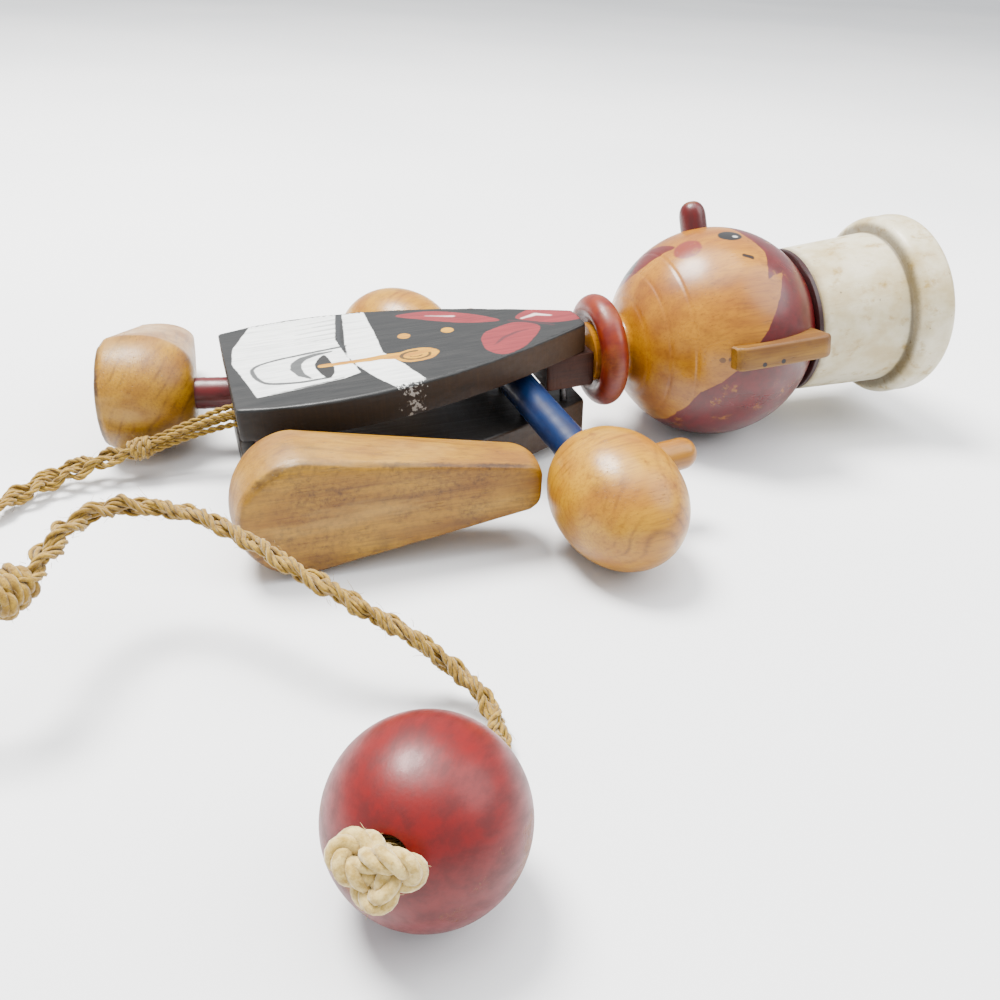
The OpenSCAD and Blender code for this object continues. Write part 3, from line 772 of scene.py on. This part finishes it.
def paint_fields(x, y):
    # Signed distances of the painted picture, in the body frame's x and y
    P = np.stack([x + FOOT_X, y], axis=1)
    f = {}

    def smooth(points, closed=True):
        return spline([(*p, 0) for p in points], 5, closed=closed)[:, :2]

    def areas(*shapes):
        return np.minimum.reduce([poly_distance(P, q) for q in shapes])

    def strokes(*lines):
        return np.minimum.reduce([line_distance(P, q, half) for q, half in lines])

    apron = [(-99.2, 20.8), (-103.9, 9.3), (-104.7, 1.6), (-103.6, -3.8), (-101.7, -15.4),
             (-93.5, -14.4), (-84.9, -12.7), (-81.5, -11.2), (-82.6, -3), (-83.3, 6.6), (-80.7, 21)]
    band = [(-79.2, 21.5), (-74.7, 21), (-74.9, 8), (-75.4, -3.3), (-78.5, -7), (-81.1, -9.3),
            (-82.4, -3), (-81.9, 3.2)]
    tail = [(-81.1, -9.3), (-75.4, -3.3), (-72.6, -11), (-70.4, -18.9), (-75.7, -22), (-79, -15)]
    f["white"] = areas(apron, band, tail)
    f["folds"] = strokes(*[([(-91.5 + 0.4 * k, v - 0.8), (-82.4 + 0.25 * k, v)], [0.12, 0.3])
                           for k, v in enumerate((8, 10.5, 13, 15.5, 18))])
    pocket = smooth([(-82, 2.7), (-90, 1.7), (-97.4, 0.3), (-100.6, -1.4), (-101.3, -4),
                     (-100.5, -7.6), (-98.7, -10.1), (-93, -11.5), (-87.5, -11.2)], closed=False)
    inner = [(-85, 1), (-88.5, 0.5), (-91, -0.5), (-92.7, -2.6), (-93.1, -5), (-92.5, -8.2),
             (-91, -10.5)]
    split = [(-80, 21), (-81.6, 13), (-82.6, 6.6), (-82.7, 1)]
    hem = [(-99.6, -15), (-92, -13.9), (-84.9, -12.3)]
    f["line"] = strokes((pocket, 0.42), (inner, [0.3, 0.6, 0.9, 1.1, 1.1, 0.8, 0.3]),
                        (split, [0.65, 0.5, 0.32, 0.1]), (hem, [0.1, 0.3, 0.2]))
    f["black"] = areas(smooth([(-89.3, -4.5), (-88, -1.6), (-86.6, -0.4), (-86, -5),
                               (-86.2, -9.3), (-87.9, -11.5), (-89.1, -8)]))
    handle = line_distance(P, [(-88.2, -5.5), (-80, -5.8), (-76, -5.6), (-72, -6.4)],
                           [0.7, 0.85, 1.15, 1.7])
    f["yellow"] = np.minimum.reduce([handle, ellipse_distance(P, (-69.3, -7.0), 4.5, 3.15, 8),
                                     ellipse_distance(P, (-69.5, 3.3), 1.35, 1.4),
                                     ellipse_distance(P, (-60.3, 3.1), 1.35, 1.45)])

    def curl(rx, ry, a0, a1):
        return [(-69.6 + rx * math.cos(math.radians(q)), -7.0 + ry * math.sin(math.radians(q)))
                for q in range(a0, a1, 12)]

    f["bowl"] = strokes((curl(2.9, 2.0, 75, 370), 0.34), (curl(1.3, 0.9, 190, 340), 0.22))
    leaf = smooth([(-68.7, 15), (-62.5, 15.3), (-56.9, 12.8), (-51.5, 8.6), (-48.3, 4.2),
                   (-53, 4.7), (-58.5, 7.1), (-64, 11)])
    lobe = smooth([(-55.7, -7.4), (-54.6, -3), (-52, -0.3), (-45.7, 1.9), (-41.6, -2.2),
                   (-46.4, -9.4), (-50, -12.2), (-53, -13.3), (-55.3, -11)])
    neck = smooth([(-44.9, 4.1), (-42.5, 6.8), (-39, 8), (-33.9, 5.9), (-32.1, 2), (-32.1, -1.2),
                   (-37.8, -1.3), (-42, 1.2)])
    f["pink"] = areas(leaf, lobe, neck)
    f["stroke"] = strokes(
        ([(-53.6, -8.2), (-50.4, -5), (-47, -3.2), (-44.4, -2.8)], [0.15, 0.42, 0.42, 0.15]),
        ([(-46.6, 3.4), (-43, 1.2), (-40.2, -1), (-38.6, -2.6)], [0.3, 0.42, 0.42, 0.3]),
        ([(-65.5, 14.2), (-59, 11.3), (-53.5, 7.3)], [0.1, 0.26, 0.1]))
    f["shine"] = strokes(([(-43.6, 3.5), (-40.2, 4.6), (-37.4, 2.9)], [0.3, 0.65, 0.3]),
                         ([(-62.5, 12.6), (-57, 10.2)], [0.1, 0.4]))
    f["drips"] = np.abs(x + FOOT_X + 73.5) * 0.35 + np.maximum(0, y + 14) * 0.3
    f["rim"] = np.minimum.reduce([half_width(x) - np.abs(y), x, BOARD_L - x])
    return f


board = loft(board_loops(FRONT_T, 11))
V = np.array(board[0])
put("front_board", board, BODY @ T(FOOT_X, 0, INNER_Z), "torso", ["front_panel"],
    board_material("painted_board", True), smooth=34, fields=paint_fields(V[:, 0], V[:, 1]))

TILT = R(SPLAY, "Y")
rear = [(np.linalg.inv(np.array((T(FOOT_X, 0, BACK_Z) @ TILT).to_3x3())) @
         (np.array([x - FOOT_X, y, 0.0])))[:2] for x, y in NAILS]
put("back_board", loft(board_loops(BACK_T, 23, cols=90, rows=170, dimples=rear)),
    BODY @ T(FOOT_X, 0, BACK_Z) @ TILT @ T(0, 0, -BACK_T), "torso",
    ["back_panel"], board_material("stained_board", False), smooth=34)


def rear_z(x):
    s = math.radians(SPLAY)
    return BACK_Z - BACK_T / math.cos(s) - (x - FOOT_X) * math.tan(s)


def steel():
    m = Mat("nail_steel", rough=0.38, metallic=0.9)
    n = m.cloud(0.9, 4, 0.7)
    fine = m.cloud(3, 3, 0.7)
    c = m.mix(m.ramp(n, 0.35, 0.7), (0.36, 0.36, 0.37), (0.20, 0.18, 0.17))
    c = m.stain(c, fine, 0.6, 0.75, 0.7, (0.19, 0.075, 0.03))
    return m.done(c, m.ramp(n, 0.2, 0.8, 0.3, 0.6), fine, 0.4, 0.05)


def nails():
    parts = []
    for x, y in NAILS:
        prof = [(0.34, 0.0), (0.3, 0.7), (0.34, 1.3), (0.46, 1.56), (0.62, 1.6), (1.0, 1.5),
                (1.1, 0.95), (1.5, 0.82)]
        prof += [(1.5 + 0.55 * k, 0.8 if k % 2 else 0.76) for k in range(1, 5)]
        prof += [(4.5, 0.8), (19.4, 0.8), (20.4, 0.45), (20.95, 0.0)]
        v, f = lathe(prof, 32)
        parts.append(([(x - p[2], y + p[1], rear_z(x) + p[0]) for p in v], f))
    put("nails_wire", join(parts), BODY, "torso", ["nails"], steel(), smooth=35)


nails()


def sawn_block(lo, hi, b):
    # Closed loops along x with softened, slightly uneven corners
    g = np.random.default_rng(5)
    loops = []
    for t in np.concatenate([[0, 0.02], np.linspace(0.06, 0.94, 10), [0.98, 1]]):
        e = min(t, 1 - t) * (hi[0] - lo[0])
        inset = max(0, 1 - e / b) * b * 0.8
        (y0, y1), (z0, z1) = [(lo[k] + inset, hi[k] - inset) for k in (1, 2)]
        loop = []
        for cy, cz, start in ((y1 - b, z1 - b, 0), (y0 + b, z1 - b, 90), (y0 + b, z0 + b, 180),
                              (y1 - b, z0 + b, 270)):
            for k in range(4):
                a = math.radians(start + 30 * k)
                loop.append((lo[0] + (hi[0] - lo[0]) * t,
                             cy + b * math.cos(a) + g.normal(0, 0.018),
                             cz + b * math.sin(a) + g.normal(0, 0.018)))
        loops.append(loop)
    return loft(loops)


def block_wood():
    m = Mat("block_wood", rough=0.6)
    c, h, broad = wood_layers(m, (0.22, 0.075, 0.035), (0.13, 0.04, 0.02),
                              (0.05, 0.016, 0.010), ring=0.8)
    saw = m.cloud((1.8, 0.2, 0.2), 4, 0.7)
    return m.done(c, 0.6, m.add(h, saw), 0.6, 0.12)


put("neck_spacer", sawn_block((-41, -5, -5.6), (-30.3, 5, 2), 0.35), BODY, "torso",
    ["neck_block"], block_wood(), smooth=35)


# ---------------------------------------------------------------- head
HEAD_R, BOSS_R, SEAT_X = 23.0, 6.4, 17.6


def collar():
    middle, ring_d, r = -27.2, 24.2, 2.9
    prof = [(middle - 1.9, BOSS_R + 0.02)]
    prof += cap(middle, r, r, np.linspace(-132, 132, 46), base=ring_d / 2 - r)
    prof += [(middle + 1.9, BOSS_R + 0.02)]

    def rubbed(m, fine):
        n = m.cloud(0.16, 3, 0.5, (4, 4, 1))
        return m.mul(m.ramp(m.add(n, m.mul(fine, 0.2)), 0.52, 0.85), 0.5)
    m = paint_material("collar_red", (0.56, 0.12, 0.05), (0.40, 0.06, 0.035), (0.62, 0.27, 0.09),
                       rough=0.38, coat=0.2, wear=0.4, wear_scale=0.3, axis_wear=rubbed)
    put("collar_turned", lathe(prof, 120, wobble=0.004), BODY, "torso",
        ["collar_ring"], m, smooth=50)


collar()


def head_profile():
    p = [(-30.3, 0.0), (-30.3, BOSS_R - 0.3), (-30.0, BOSS_R)]
    p += [(x, BOSS_R) for x in (-27, -24.2)]
    x0 = -math.sqrt(HEAD_R ** 2 - (BOSS_R + 0.9) ** 2)
    p += [(x0 - 0.9, BOSS_R + 0.06), (x0 - 0.4, BOSS_R + 0.35)]
    a0 = math.asin(x0 / HEAD_R)
    a1 = math.asin(SEAT_X / HEAD_R)
    for a in np.linspace(a0, a1, 190):
        x, r = HEAD_R * math.sin(a), HEAD_R * math.cos(a)
        cut = sum(0.13 * math.exp(-((x - g) / 0.22) ** 2) for g in (-17.1, -13.0, -20.3))
        p.append((x, r - cut))
    p += [(SEAT_X + 0.05, 14.5), (SEAT_X + 0.05, 0.0)]
    return p


def face_fields(V):
    x = V[:, 0]
    r = np.hypot(V[:, 1], V[:, 2])
    a = np.degrees(np.arctan2(V[:, 2], -V[:, 1]))
    s = (a - 90 + 180) % 360 - 180
    m = HEAD_R * np.arcsin(np.clip(x / HEAD_R, -1, 1))
    d = np.abs(s)

    def mer(u):
        return HEAD_R * math.asin(u / HEAD_R)

    def near(u0):
        return np.stack([m, np.radians(d) * math.sqrt(HEAD_R ** 2 - u0 * u0)], axis=1)

    def at(u, dev, u0):
        return (mer(u), math.radians(dev) * math.sqrt(HEAD_R ** 2 - u0 * u0))

    f = {}
    f["cheek"] = ellipse_distance(near(-8.7), at(-8.7, 31, -8.7), 3.0, 3.1)
    f["eye"] = ellipse_distance(near(1.1), at(1.1, 30.5, 1.1), 2.7, 2.15)
    f["glint"] = ellipse_distance(near(1.1), at(2.0, 32.2, 1.1), 0.65, 0.5)
    f["brow"] = line_distance(near(1.4), [at(0.7, 49, 1.4), at(2.2, 51, 1.4)], 0.5)
    k = 20 * math.pi / 180
    hair = [(0, 3.5), (15, 3.9), (31, 4.6), (47, 6.4), (57, 5), (66, 3.6), (63, 5.5), (61, 8.3),
            (75, 5.6), (92, 1.1), (103, -3), (110, -5.1), (126, -12.1), (150, -14.5),
            (185, -15.3), (185, 30), (-6, 30)]
    f["hair"] = poly_distance(np.stack([d * k, x], axis=1), [(p[0] * k, p[1]) for p in hair])
    k = math.sqrt(HEAD_R ** 2 - 14 ** 2) * math.pi / 180
    P = np.stack([m, s * k], axis=1)

    def outline(points):
        return spline([(mer(u), q * k, 0) for u, q in points], 5, closed=True)[:, :2]

    f["mouth"] = poly_distance(P, outline([
        (-10, -22), (-11.5, -3), (-12.8, 13), (-13.4, 27), (-14.9, 37), (-17.3, 40), (-18.9, 33),
        (-18.9, 18), (-18.6, 3), (-16.6, -12), (-13.8, -18.4), (-12, -21)]))
    f["opening"] = poly_distance(P, outline([
        (-13.0, 12), (-14.6, 6), (-16.8, 1), (-17.9, 8), (-17.4, 27), (-15.3, 31), (-13.7, 24)]))
    return f


def head_material():
    tones = ((0.78, 0.41, 0.115), (0.62, 0.27, 0.06), (0.38, 0.13, 0.022))
    m, c, h, broad = wood("head_wood", tones, 0.4, 0.4, 0.4, 0.2, pith=(0, 6, 4), ring=1.6,
                          ring_mix=0.22)
    dots = m.ramp(m.cloud(0.42, 1, 0.3, (5, 1, 9)), 0.76, 0.79)
    c = m.mix(m.mul(dots, 0.7), c, (0.08, 0.03, 0.01))
    w = m.mul(m.sub(m.cloud(0.5, 3, 0.6), 0.5), 0.6)
    fine = m.cloud(1.6, 4, 0.7)
    worn = m.ramp(m.add(m.cloud(0.22, 5, 0.65, (6, 2, 2)),
                        m.mul(m.sub(fine, 0.5), 0.3)), 0.60, 0.70)
    brush = m.cloud((0.5, 0.12, 0.5), 4, 0.6)
    hair = m.mix(m.ramp(brush, 0.3, 0.7), (0.36, 0.035, 0.045), (0.24, 0.022, 0.03))
    k = m.mul(m.inside("hair", 0.12, w), m.sub(1.0, m.mul(worn, 0.55)))
    c = m.mix(k, c, hair)
    cheek = m.mul(m.inside("cheek", 0.3, w), m.sub(0.92, m.mul(worn, 0.5)))
    c = m.mix(cheek, c, (0.53, 0.10, 0.09))
    mouth = m.mul(m.inside("mouth", 0.16, w), m.sub(0.97, m.mul(worn, 0.3)))
    c = m.mix(mouth, c, m.mix(m.ramp(brush, 0.3, 0.7), (0.42, 0.04, 0.045), (0.30, 0.025, 0.035)))
    c = m.paint(c, w, (("opening", 0.16, 1, (0.03, 0.02, 0.02)),
                       ("brow", 0.12, 1, (0.06, 0.03, 0.02))))
    c = m.paint(c, m.mul(w, 0.5), (("eye", 0.14, 1, (0.022, 0.018, 0.018)),))
    c = m.paint(c, None, (("glint", 0.15, 0.8, (0.75, 0.72, 0.68)),))
    raised = m.add(m.mul(k, 0.5), m.add(m.mul(m.inside("eye", 0.2), 0.6), m.mul(mouth, 0.4)))
    return m.done(c, m.ramp(broad, 0.2, 0.8, 0.24, 0.42), m.add(m.mul(h, 0.4), raised), 0.3, 0.1)


turned = lathe(head_profile(), 320)
put("head_turned", turned, HEAD, "torso", ["head"], head_material(),
    fields=face_fields(np.array(turned[0])))

prof = [(17.2, 0), (17.2, 2.9), (22.4, 2.95), (23.2, 2.98), (25.6, 2.95)]
prof += cap(25.6, 3.35, 2.93, range(8, 90, 9), power=0.8) + [(28.98, 0)]


def tip_wear(m, fine):
    s = m.axes()
    return m.mul(m.ramp(m.add(s[0], m.mul(fine, 1.4)), 28.6, 29.3), 0.6)


put("nose_turned", lathe(prof, 72, wobble=0.01), HEAD @ T(-1, 0, 0) @ R(-90, "Y"), "torso",
    ["nose_peg"],
    paint_material("nose_red", (0.33, 0.042, 0.034), (0.20, 0.02, 0.02), (0.5, 0.22, 0.08),
                   rough=0.35, coat=0.3, wear=0.3, axis_wear=tip_wear), smooth=50)


def ear(word, node, side):
    # A sawn slab with a crowned outer edge and softened ends
    length, thick, edge, reach = 22, 4.8, 0.45, 25.6
    loops = []
    for t in np.concatenate([[0, 0.012, 0.03], np.linspace(0.07, 0.93, 26), [0.97, 0.988, 1]]):
        e = min(t, 1 - t) * length
        out = reach - 1.1 * max(0, 1 - e / 2.0) ** 2 - 0.25 * (2 * t - 1) ** 2
        h = thick / 2 - 0.3 * max(0, 1 - e / 0.5)
        half = [(out, h - edge - 0.1), (out - 0.13, h - 0.23), (out - edge, h), (16, h)]
        loop = [(y, -z) for y, z in half[::-1]] + half
        loops.append([(-7 + length * t, side * y, z) for y, z in loop])
    tones = ((0.58, 0.33, 0.12), (0.40, 0.19, 0.055), (0.17, 0.065, 0.02))
    m, c, h, broad = wood("ear_wood_" + word, tones, 0.55, 0.5, 0.12, 0.3, ring=0.9,
                          pith=(0, 9 * side, 3), streak=1.2)
    s = m.axes()
    # two dark spots where the nail holes sit: painted shade, the holes are not cut in the mesh
    for hole_x, hole_z in ((-1.3, -1.55), (3.0, -1.45)):
        dx, dz = m.sub(s[0], hole_x), m.sub(s[2], hole_z)
        d = m.math("SQRT", m.add(m.mul(dx, dx), m.mul(dz, dz)))
        c = m.mix(m.ramp(d, 0.62, 0.4), c, (0.03, 0.014, 0.007))
    put("ear_" + word, loft(loops), HEAD @ R(-13.5 * side, "X"), "torso", [node],
        m.done(c, 0.5, h, 0.5, 0.12), smooth=35)


ear("near", "left_ear", -1)
ear("far", "right_ear", 1)

# hat band, its dark maroon partly painted shade of the gap between head and hat, and hat
BAND_T = 1.4
# a thin disc whose near-black maroon stands partly for the shaded gap under the hat
band = [(0, 4.1), (0, 15.9), (0.25, 16.2), (1.15, 16.2), (BAND_T, 15.9), (BAND_T, 4.1)]
put("hat_band_dark_shade", lathe([(SEAT_X + x, r) for x, r in band], 120), HEAD, "torso",
    ["hat_band"], paint_material("band_maroon_shade", (0.10, 0.014, 0.015), (0.055, 0.01, 0.01),
                                 (0.28, 0.12, 0.04), rough=0.4, coat=0.2, wear=0.35,
                                 wear_scale=0.6))
HAT_X, HAT_L, BRIM, BRIM_D = SEAT_X + BAND_T, 31.5, 9.6, 41.0


def hat():
    z0, r, q = HAT_L - BRIM, BRIM_D / 2 - 2.5, 2.5
    p = [(-8.8, 0), (-8.8, 3.7), (-8.5, 3.95), (0, 3.95), (0, 15.8), (0.3, 16.1)]
    p += [(t, 16.1 + 1.1 * (t / z0)) for t in np.linspace(1, z0 - 0.35, 30)]
    p += [(z0 - 0.12, 17.25), (z0, 17.45)]
    p += cap(z0 + q, q, q, range(-84, 1, 7), base=r)
    p += [(t, BRIM_D / 2 + 0.06 * math.sin((t - z0) * 1.1))
          for t in np.linspace(z0 + q + 0.5, HAT_L - q - 0.5, 12)]
    p += cap(HAT_L - q, q, q, range(0, 86, 7), base=r)
    p += [(HAT_L - 0.02, t) for t in (17.4, 15)]
    p += [(HAT_L - 0.04 - 0.05 * (t % 2), t) for t in (13, 12, 10, 9, 7, 6, 4, 3)]
    p += [(HAT_L - 0.1, 1.2), (HAT_L - 0.16, 0)]
    m = Mat("hat_cream", rough=0.42, coat=0.35, coat_rough=0.22)
    s = m.axes()
    big = m.cloud((0.07, 0.09, 0.09), 4, 0.6)
    mid = m.cloud((0.22, 0.3, 0.3), 5, 0.65, (9, 3, 1))
    fine = m.cloud((0.4, 2.4, 2.4), 4, 0.7)
    spots = m.cloud(0.7, 2, 0.5, (1, 9, 4))
    c = m.mix(m.ramp(big, 0.35, 0.68), (0.79, 0.74, 0.60), (0.70, 0.60, 0.40))
    c = m.stain(c, mid, 0.52, 0.72, 0.75, (0.62, 0.43, 0.17))
    c = m.stain(c, mid, 0.68, 0.82, 0.75, (0.33, 0.17, 0.06))
    c = m.stain(c, spots, 0.72, 0.77, 0.6, (0.20, 0.12, 0.06))
    c = m.stain(c, fine, 0.55, 0.8, 0.22, (0.42, 0.33, 0.2))
    # darker ring at the step where the crown meets the brim: painted shade in the corner
    step = m.math("ABSOLUTE", m.sub(s[0], HAT_X + HAT_L - BRIM - 0.2))
    dirt_and_shade = m.mul(m.ramp(m.add(step, m.mul(fine, 0.5)), 1.15, 0.35), 0.75)
    c = m.mix(dirt_and_shade, c, (0.16, 0.10, 0.05))
    foot = m.ramp(m.add(s[0], m.mul(mid, 3.0)), HAT_X + 3.4, HAT_X + 1.2)
    c = m.mix(m.mul(foot, 0.6), c, (0.36, 0.22, 0.10))
    put("hat_turned", lathe([(HAT_X + x, rr) for x, rr in p], 180), HEAD, "torso",
        ["hat"], m.done(c, m.ramp(mid, 0.3, 0.8, 0.34, 0.6), m.add(fine, m.mul(mid, 0.7)), 0.4,
                        0.12))


hat()


# ---------------------------------------------------------------- arms and hands
def dowel(who, part, M, d, tail, end, mat, seed):
    g = np.random.default_rng(seed)
    r = d / 2
    p = [(-tail, 0), (-tail, r - 0.9), (-tail + 0.25, r - 0.45), (-tail + 0.8, r - 0.06)]
    p += [(x, r + g.normal(0, 0.02)) for x in np.linspace(-tail + 1.2, end - 0.4, 40)]
    p += [(end, r - 0.2), (end, 0)]
    put("%s_%s_dowel" % (who, part), lathe(p, 56), M, "%s_%s_body" % (who, part),
        ["%s_%s" % (who, part)], mat, smooth=45)


def blue(side):
    def worn(m, fine):
        s = m.axes()
        edge = m.add(m.mul(s[0], 0.055), m.mul(m.mul(s[1], -side), 0.17))
        return m.mul(m.ramp(m.add(edge, m.mul(m.cloud((0.3, 0.6, 0.6), 5, 0.65), 1.3)),
                            2.25, 2.5), 0.8)
    return paint_material("arm_blue_%d" % (side + 2), (0.028, 0.085, 0.27), (0.012, 0.038, 0.15),
                          (0.42, 0.31, 0.14), rough=0.42, coat=0.25, wear=0.35, wear_scale=0.5,
                          axis_wear=worn)


HAND_L, HAND_D, HAND_GRIP, ARM_D = 31.4, 23.8, 9.0, 7.2


def hand(who, M, reach):
    # Egg turned on the arm's line, drilled for the dowel, with a worn lip
    bore_r = ARM_D / 2
    x0 = -math.sqrt(1 - (2 * (bore_r + 0.35) / HAND_D) ** 2) * HAND_L / 2
    p = [(x0 + 2.2, bore_r - 0.1), (x0 + 0.3, bore_r + 0.05), (x0 + 0.02, bore_r + 0.2)]
    p += [(HAND_L / 2 * math.sin(a), HAND_D / 2 * math.cos(a))
          for a in np.linspace(math.asin(2 * x0 / HAND_L), math.pi / 2, 90)]
    p[-1] = (HAND_L / 2, 0)
    m, c, h, broad = wood("hand_wood_%s_hand_turned" % who,
                          ((0.79, 0.47, 0.16), (0.67, 0.33, 0.085), (0.37, 0.15, 0.035)),
                          0.45, 0.36, 0.3, 0.2, pith=(0, -(reach + 4), -4), turn=(0, 0, 90),
                          ring=0.9, ring_mix=0.55)
    patch = m.ramp(m.cloud(0.13, 5, 0.62, (2, 7, 5)), 0.60, 0.69)
    c = m.mix(m.mul(patch, 0.55), c, (0.34, 0.075, 0.045))
    lip = m.ramp(m.add(m.axes()[0], m.mul(broad, 1.5)), reach + x0 + 1.9, reach + x0 + 0.9)
    c = m.mix(m.mul(lip, 0.65), c, (0.10, 0.045, 0.02))
    put(who + "_hand_turned", lathe([(reach + x, r) for x, r in p], 150, wobble=0.003), M,
        who + "_arm_body", [who + "_hand"],
        m.done(c, m.ramp(broad, 0.2, 0.8, 0.28, 0.46), h, 0.35, 0.12), smooth=45)


def thumb(who, M, reach, side):
    r = 3.1
    p = [(4.3, 0), (4.3, r - 0.05), (12, r), (17.4, r)]
    p += cap(18.0, 3.0, r, range(6, 90, 8), power=0.75) + [(20.98, 0)]
    m, c, h, broad = wood("thumb_wood_%s_thumb_turned" % who,
                          ((0.74, 0.42, 0.14), (0.60, 0.28, 0.07), (0.34, 0.13, 0.03)),
                          0.4, 0.36, 0.3, 0.2, ring=0.8)
    base = m.ramp(m.add(m.axes()[0], m.mul(broad, 1.2)), 13.2, 12.2)
    c = m.mix(m.mul(base, 0.6), c, (0.12, 0.05, 0.02))
    put(who + "_thumb_turned", lathe(p, 64, wobble=0.008),
        M @ T(reach - 7.6, 0, 0) @ R(-side * 90, "Z"), who + "_arm_body",
        [who + "_thumb"], m.done(c, 0.36, h, 0.35, 0.1), smooth=45)


for who, side, reach, up, droop in (("left", -1, 40.3, 95.5, 6.0), ("right", 1, 33.3, 59.0, 4.0)):
    M = limb(SHOULDER, up, droop, side)
    dowel(who, "arm", M, ARM_D, 5.0, reach - HAND_L / 2 + HAND_GRIP, blue(side),
          4 + side)
    hand(who, M, reach)
    thumb(who, M, reach, side)

# ---------------------------------------------------------------- legs and shoes
LEG_REACH, SHOE_L, SHOE_W, TOE_W = 31.2, 55.2, 24.2, 10.0
SHOE_H, TOE_H, HEEL_BACK, CROWN_H = 18.5, 12.5, 10.4, 7.0


def shoe_outline(f):
    r, x0 = SHOE_W / 2 - 7.5 * f, SHOE_W / 2 - HEEL_BACK
    x1, w, c = SHOE_L - HEEL_BACK - 5 * f, TOE_W / 2 - 3 * f, 3 - 1.4 * f
    p = [(x0 + r * math.cos(a), r * math.sin(a)) for a in np.radians(np.linspace(90, 270, 41))]
    p += [(x0 + (x1 - c - x0) * t, -(r + (w - r) * t)) for t in np.linspace(0, 1, 26)[1:-1]]
    for start, y in ((-90, c - w), (0, w - c)):
        p += [(x1 - c + c * math.cos(a), y + c * math.sin(a))
              for a in np.radians(np.linspace(start, start + 90, 10))]
    p += [(x1 - c + (x0 - x1 + c) * t, w + (r - w) * t) for t in np.linspace(0, 1, 26)[1:-1]]
    return p


def shoe(who, M, side, roll, seed):
    g = np.random.default_rng(seed)
    n = len(shoe_outline(0))
    rag = np.convolve(g.normal(0, 1, n + 4), np.ones(5) / 5, "valid")
    heel = np.array([max(0.0, -math.cos(2 * math.pi * (j / n) - 2.6)) for j in range(n)])
    levels = [(0.95, 0.02), (0.7, 0.0), (0.45, 0.0), (0.24, 0.03), (0.17, 0.2), (0.135, 0.5),
              (0.115, 0.9)]
    levels += [(0.12 * (1 - t) ** 2, CROWN_H * t) for t in np.linspace(0.2, 1, 12)]
    levels += [(1 - math.cos(a), CROWN_H + (SHOE_H - CROWN_H) * math.sin(a))
               for a in np.radians(np.linspace(5, 90, 24))]
    loops = []
    for i, (f, h) in enumerate(levels):
        loop = []
        for j, (px, py) in enumerate(shoe_outline(f)):
            fall = 1 - (1 - TOE_H / SHOE_H) * max(0, px) / (SHOE_L - HEEL_BACK)
            q = 1 - (0.012 + 0.02 * heel[j]) * max(0, rag[j]) * (1.6 if 3 <= i <= 5 else 0)
            loop.append((LEG_REACH - h * fall, -side * (px - 10) * q - side * 10, py * q))
        loops.append(loop)
    m, c, h, broad = wood("shoe_wood_%s_shoe_carved" % who,
                          ((0.70, 0.42, 0.15), (0.55, 0.28, 0.075), (0.27, 0.11, 0.03)),
                          0.6, 0.44, 0.18, 0.25, dirt_scale=0.09, pith=(0, 4, 16), turn=(0, 0, 90),
                          ring=1.3, ring_mix=0.5, speck=0.7)
    s = m.axes()
    fine = m.cloud(1.1, 4, 0.7)
    height = m.add(s[0], m.mul(fine, 1.3))
    rim = m.mul(m.ramp(height, LEG_REACH - 0.7, LEG_REACH + 0.05),
                m.ramp(height, LEG_REACH + 0.85, LEG_REACH + 0.2))
    dark = m.cloud(0.1, 4, 0.6, (3, 1, 8))
    c = m.mix(m.mul(rim, m.ramp(dark, 0.4, 0.65, 0.25, 0.85)), c, (0.10, 0.045, 0.018))
    pale = m.ramp(m.cloud((0.07, 0.03, 0.16), 4, 0.6, (1, 2, 5)), 0.5, 0.72)
    c = m.mix(m.mul(pale, 0.35), c, (0.78, 0.53, 0.26))
    put(who + "_shoe_carved", loft(loops), M @ R(roll, "X"), who + "_leg_body",
        [who + "_shoe"], m.done(c, m.ramp(broad, 0.2, 0.8, 0.36, 0.56),
                                m.add(h, m.mul(fine, 0.4)), 0.5, 0.15), smooth=38)


for who, side, up, droop, roll in (("left", -1, 90.0, 1.4, -3), ("right", 1, 10.0, -4.2, 8)):
    M = limb(HIP, up, droop, side)
    red = paint_material("leg_red_" + who, (0.36, 0.035, 0.045), (0.22, 0.02, 0.028),
                         (0.45, 0.22, 0.09), rough=0.38, coat=0.3, wear=0.4, wear_scale=0.5)
    dowel(who, "leg", M, 6.6, 6.3, LEG_REACH - SHOE_H + 10, red, 8 + side)
    shoe(who, M, side, roll, 15 + side)

# ---------------------------------------------------------------- floor, light and world


def floor(half):
    me = bpy.data.meshes.new("floor")
    corners = [(-half, -half, 0), (half, -half, 0), (half, half, 0), (-half, half, 0)]
    me.from_pydata(corners, [], [(0, 1, 2, 3)])
    ob = bpy.data.objects.new("floor", me)
    bpy.context.scene.collection.objects.link(ob)
    m = Mat("paper", rough=0.9, spec=0.2)
    n = m.cloud(0.004, 2, 0.5)
    c = m.mix(m.ramp(n, 0.3, 0.7), (0.90, 0.90, 0.90), (0.87, 0.875, 0.88))
    me.materials.append(m.done(c, 0.9))


def area(name, at, target, size, watts, color=(1, 1, 1)):
    data = bpy.data.lights.new(name, "AREA")
    data.shape = "DISK"
    data.size = size
    data.energy = watts
    data.color = color
    ob = bpy.data.objects.new(name, data)
    bpy.context.scene.collection.objects.link(ob)
    aim = (Vector(target) - Vector(at)).to_track_quat("-Z", "Y")
    ob.matrix_world = Matrix.Translation(at) @ aim.to_matrix().to_4x4()


floor(2.5)
area("key", (-0.22, 0.22, 0.75), (-0.02, -0.02, 0), 0.34, 24, (1.0, 0.985, 0.96))
area("fill", (0.55, -0.25, 0.6), (0, 0, 0), 0.7, 8, (0.96, 0.98, 1.0))
area("top", (0.0, 0.1, 1.1), (0, 0, 0), 1.0, 18)
world = bpy.data.worlds.new("studio")
world.use_nodes = True
sky = world.node_tree.nodes["Background"].inputs
sky["Color"].default_value = (0.95, 0.97, 1.0, 1)
sky["Strength"].default_value = 1.25
bpy.context.scene.world = world
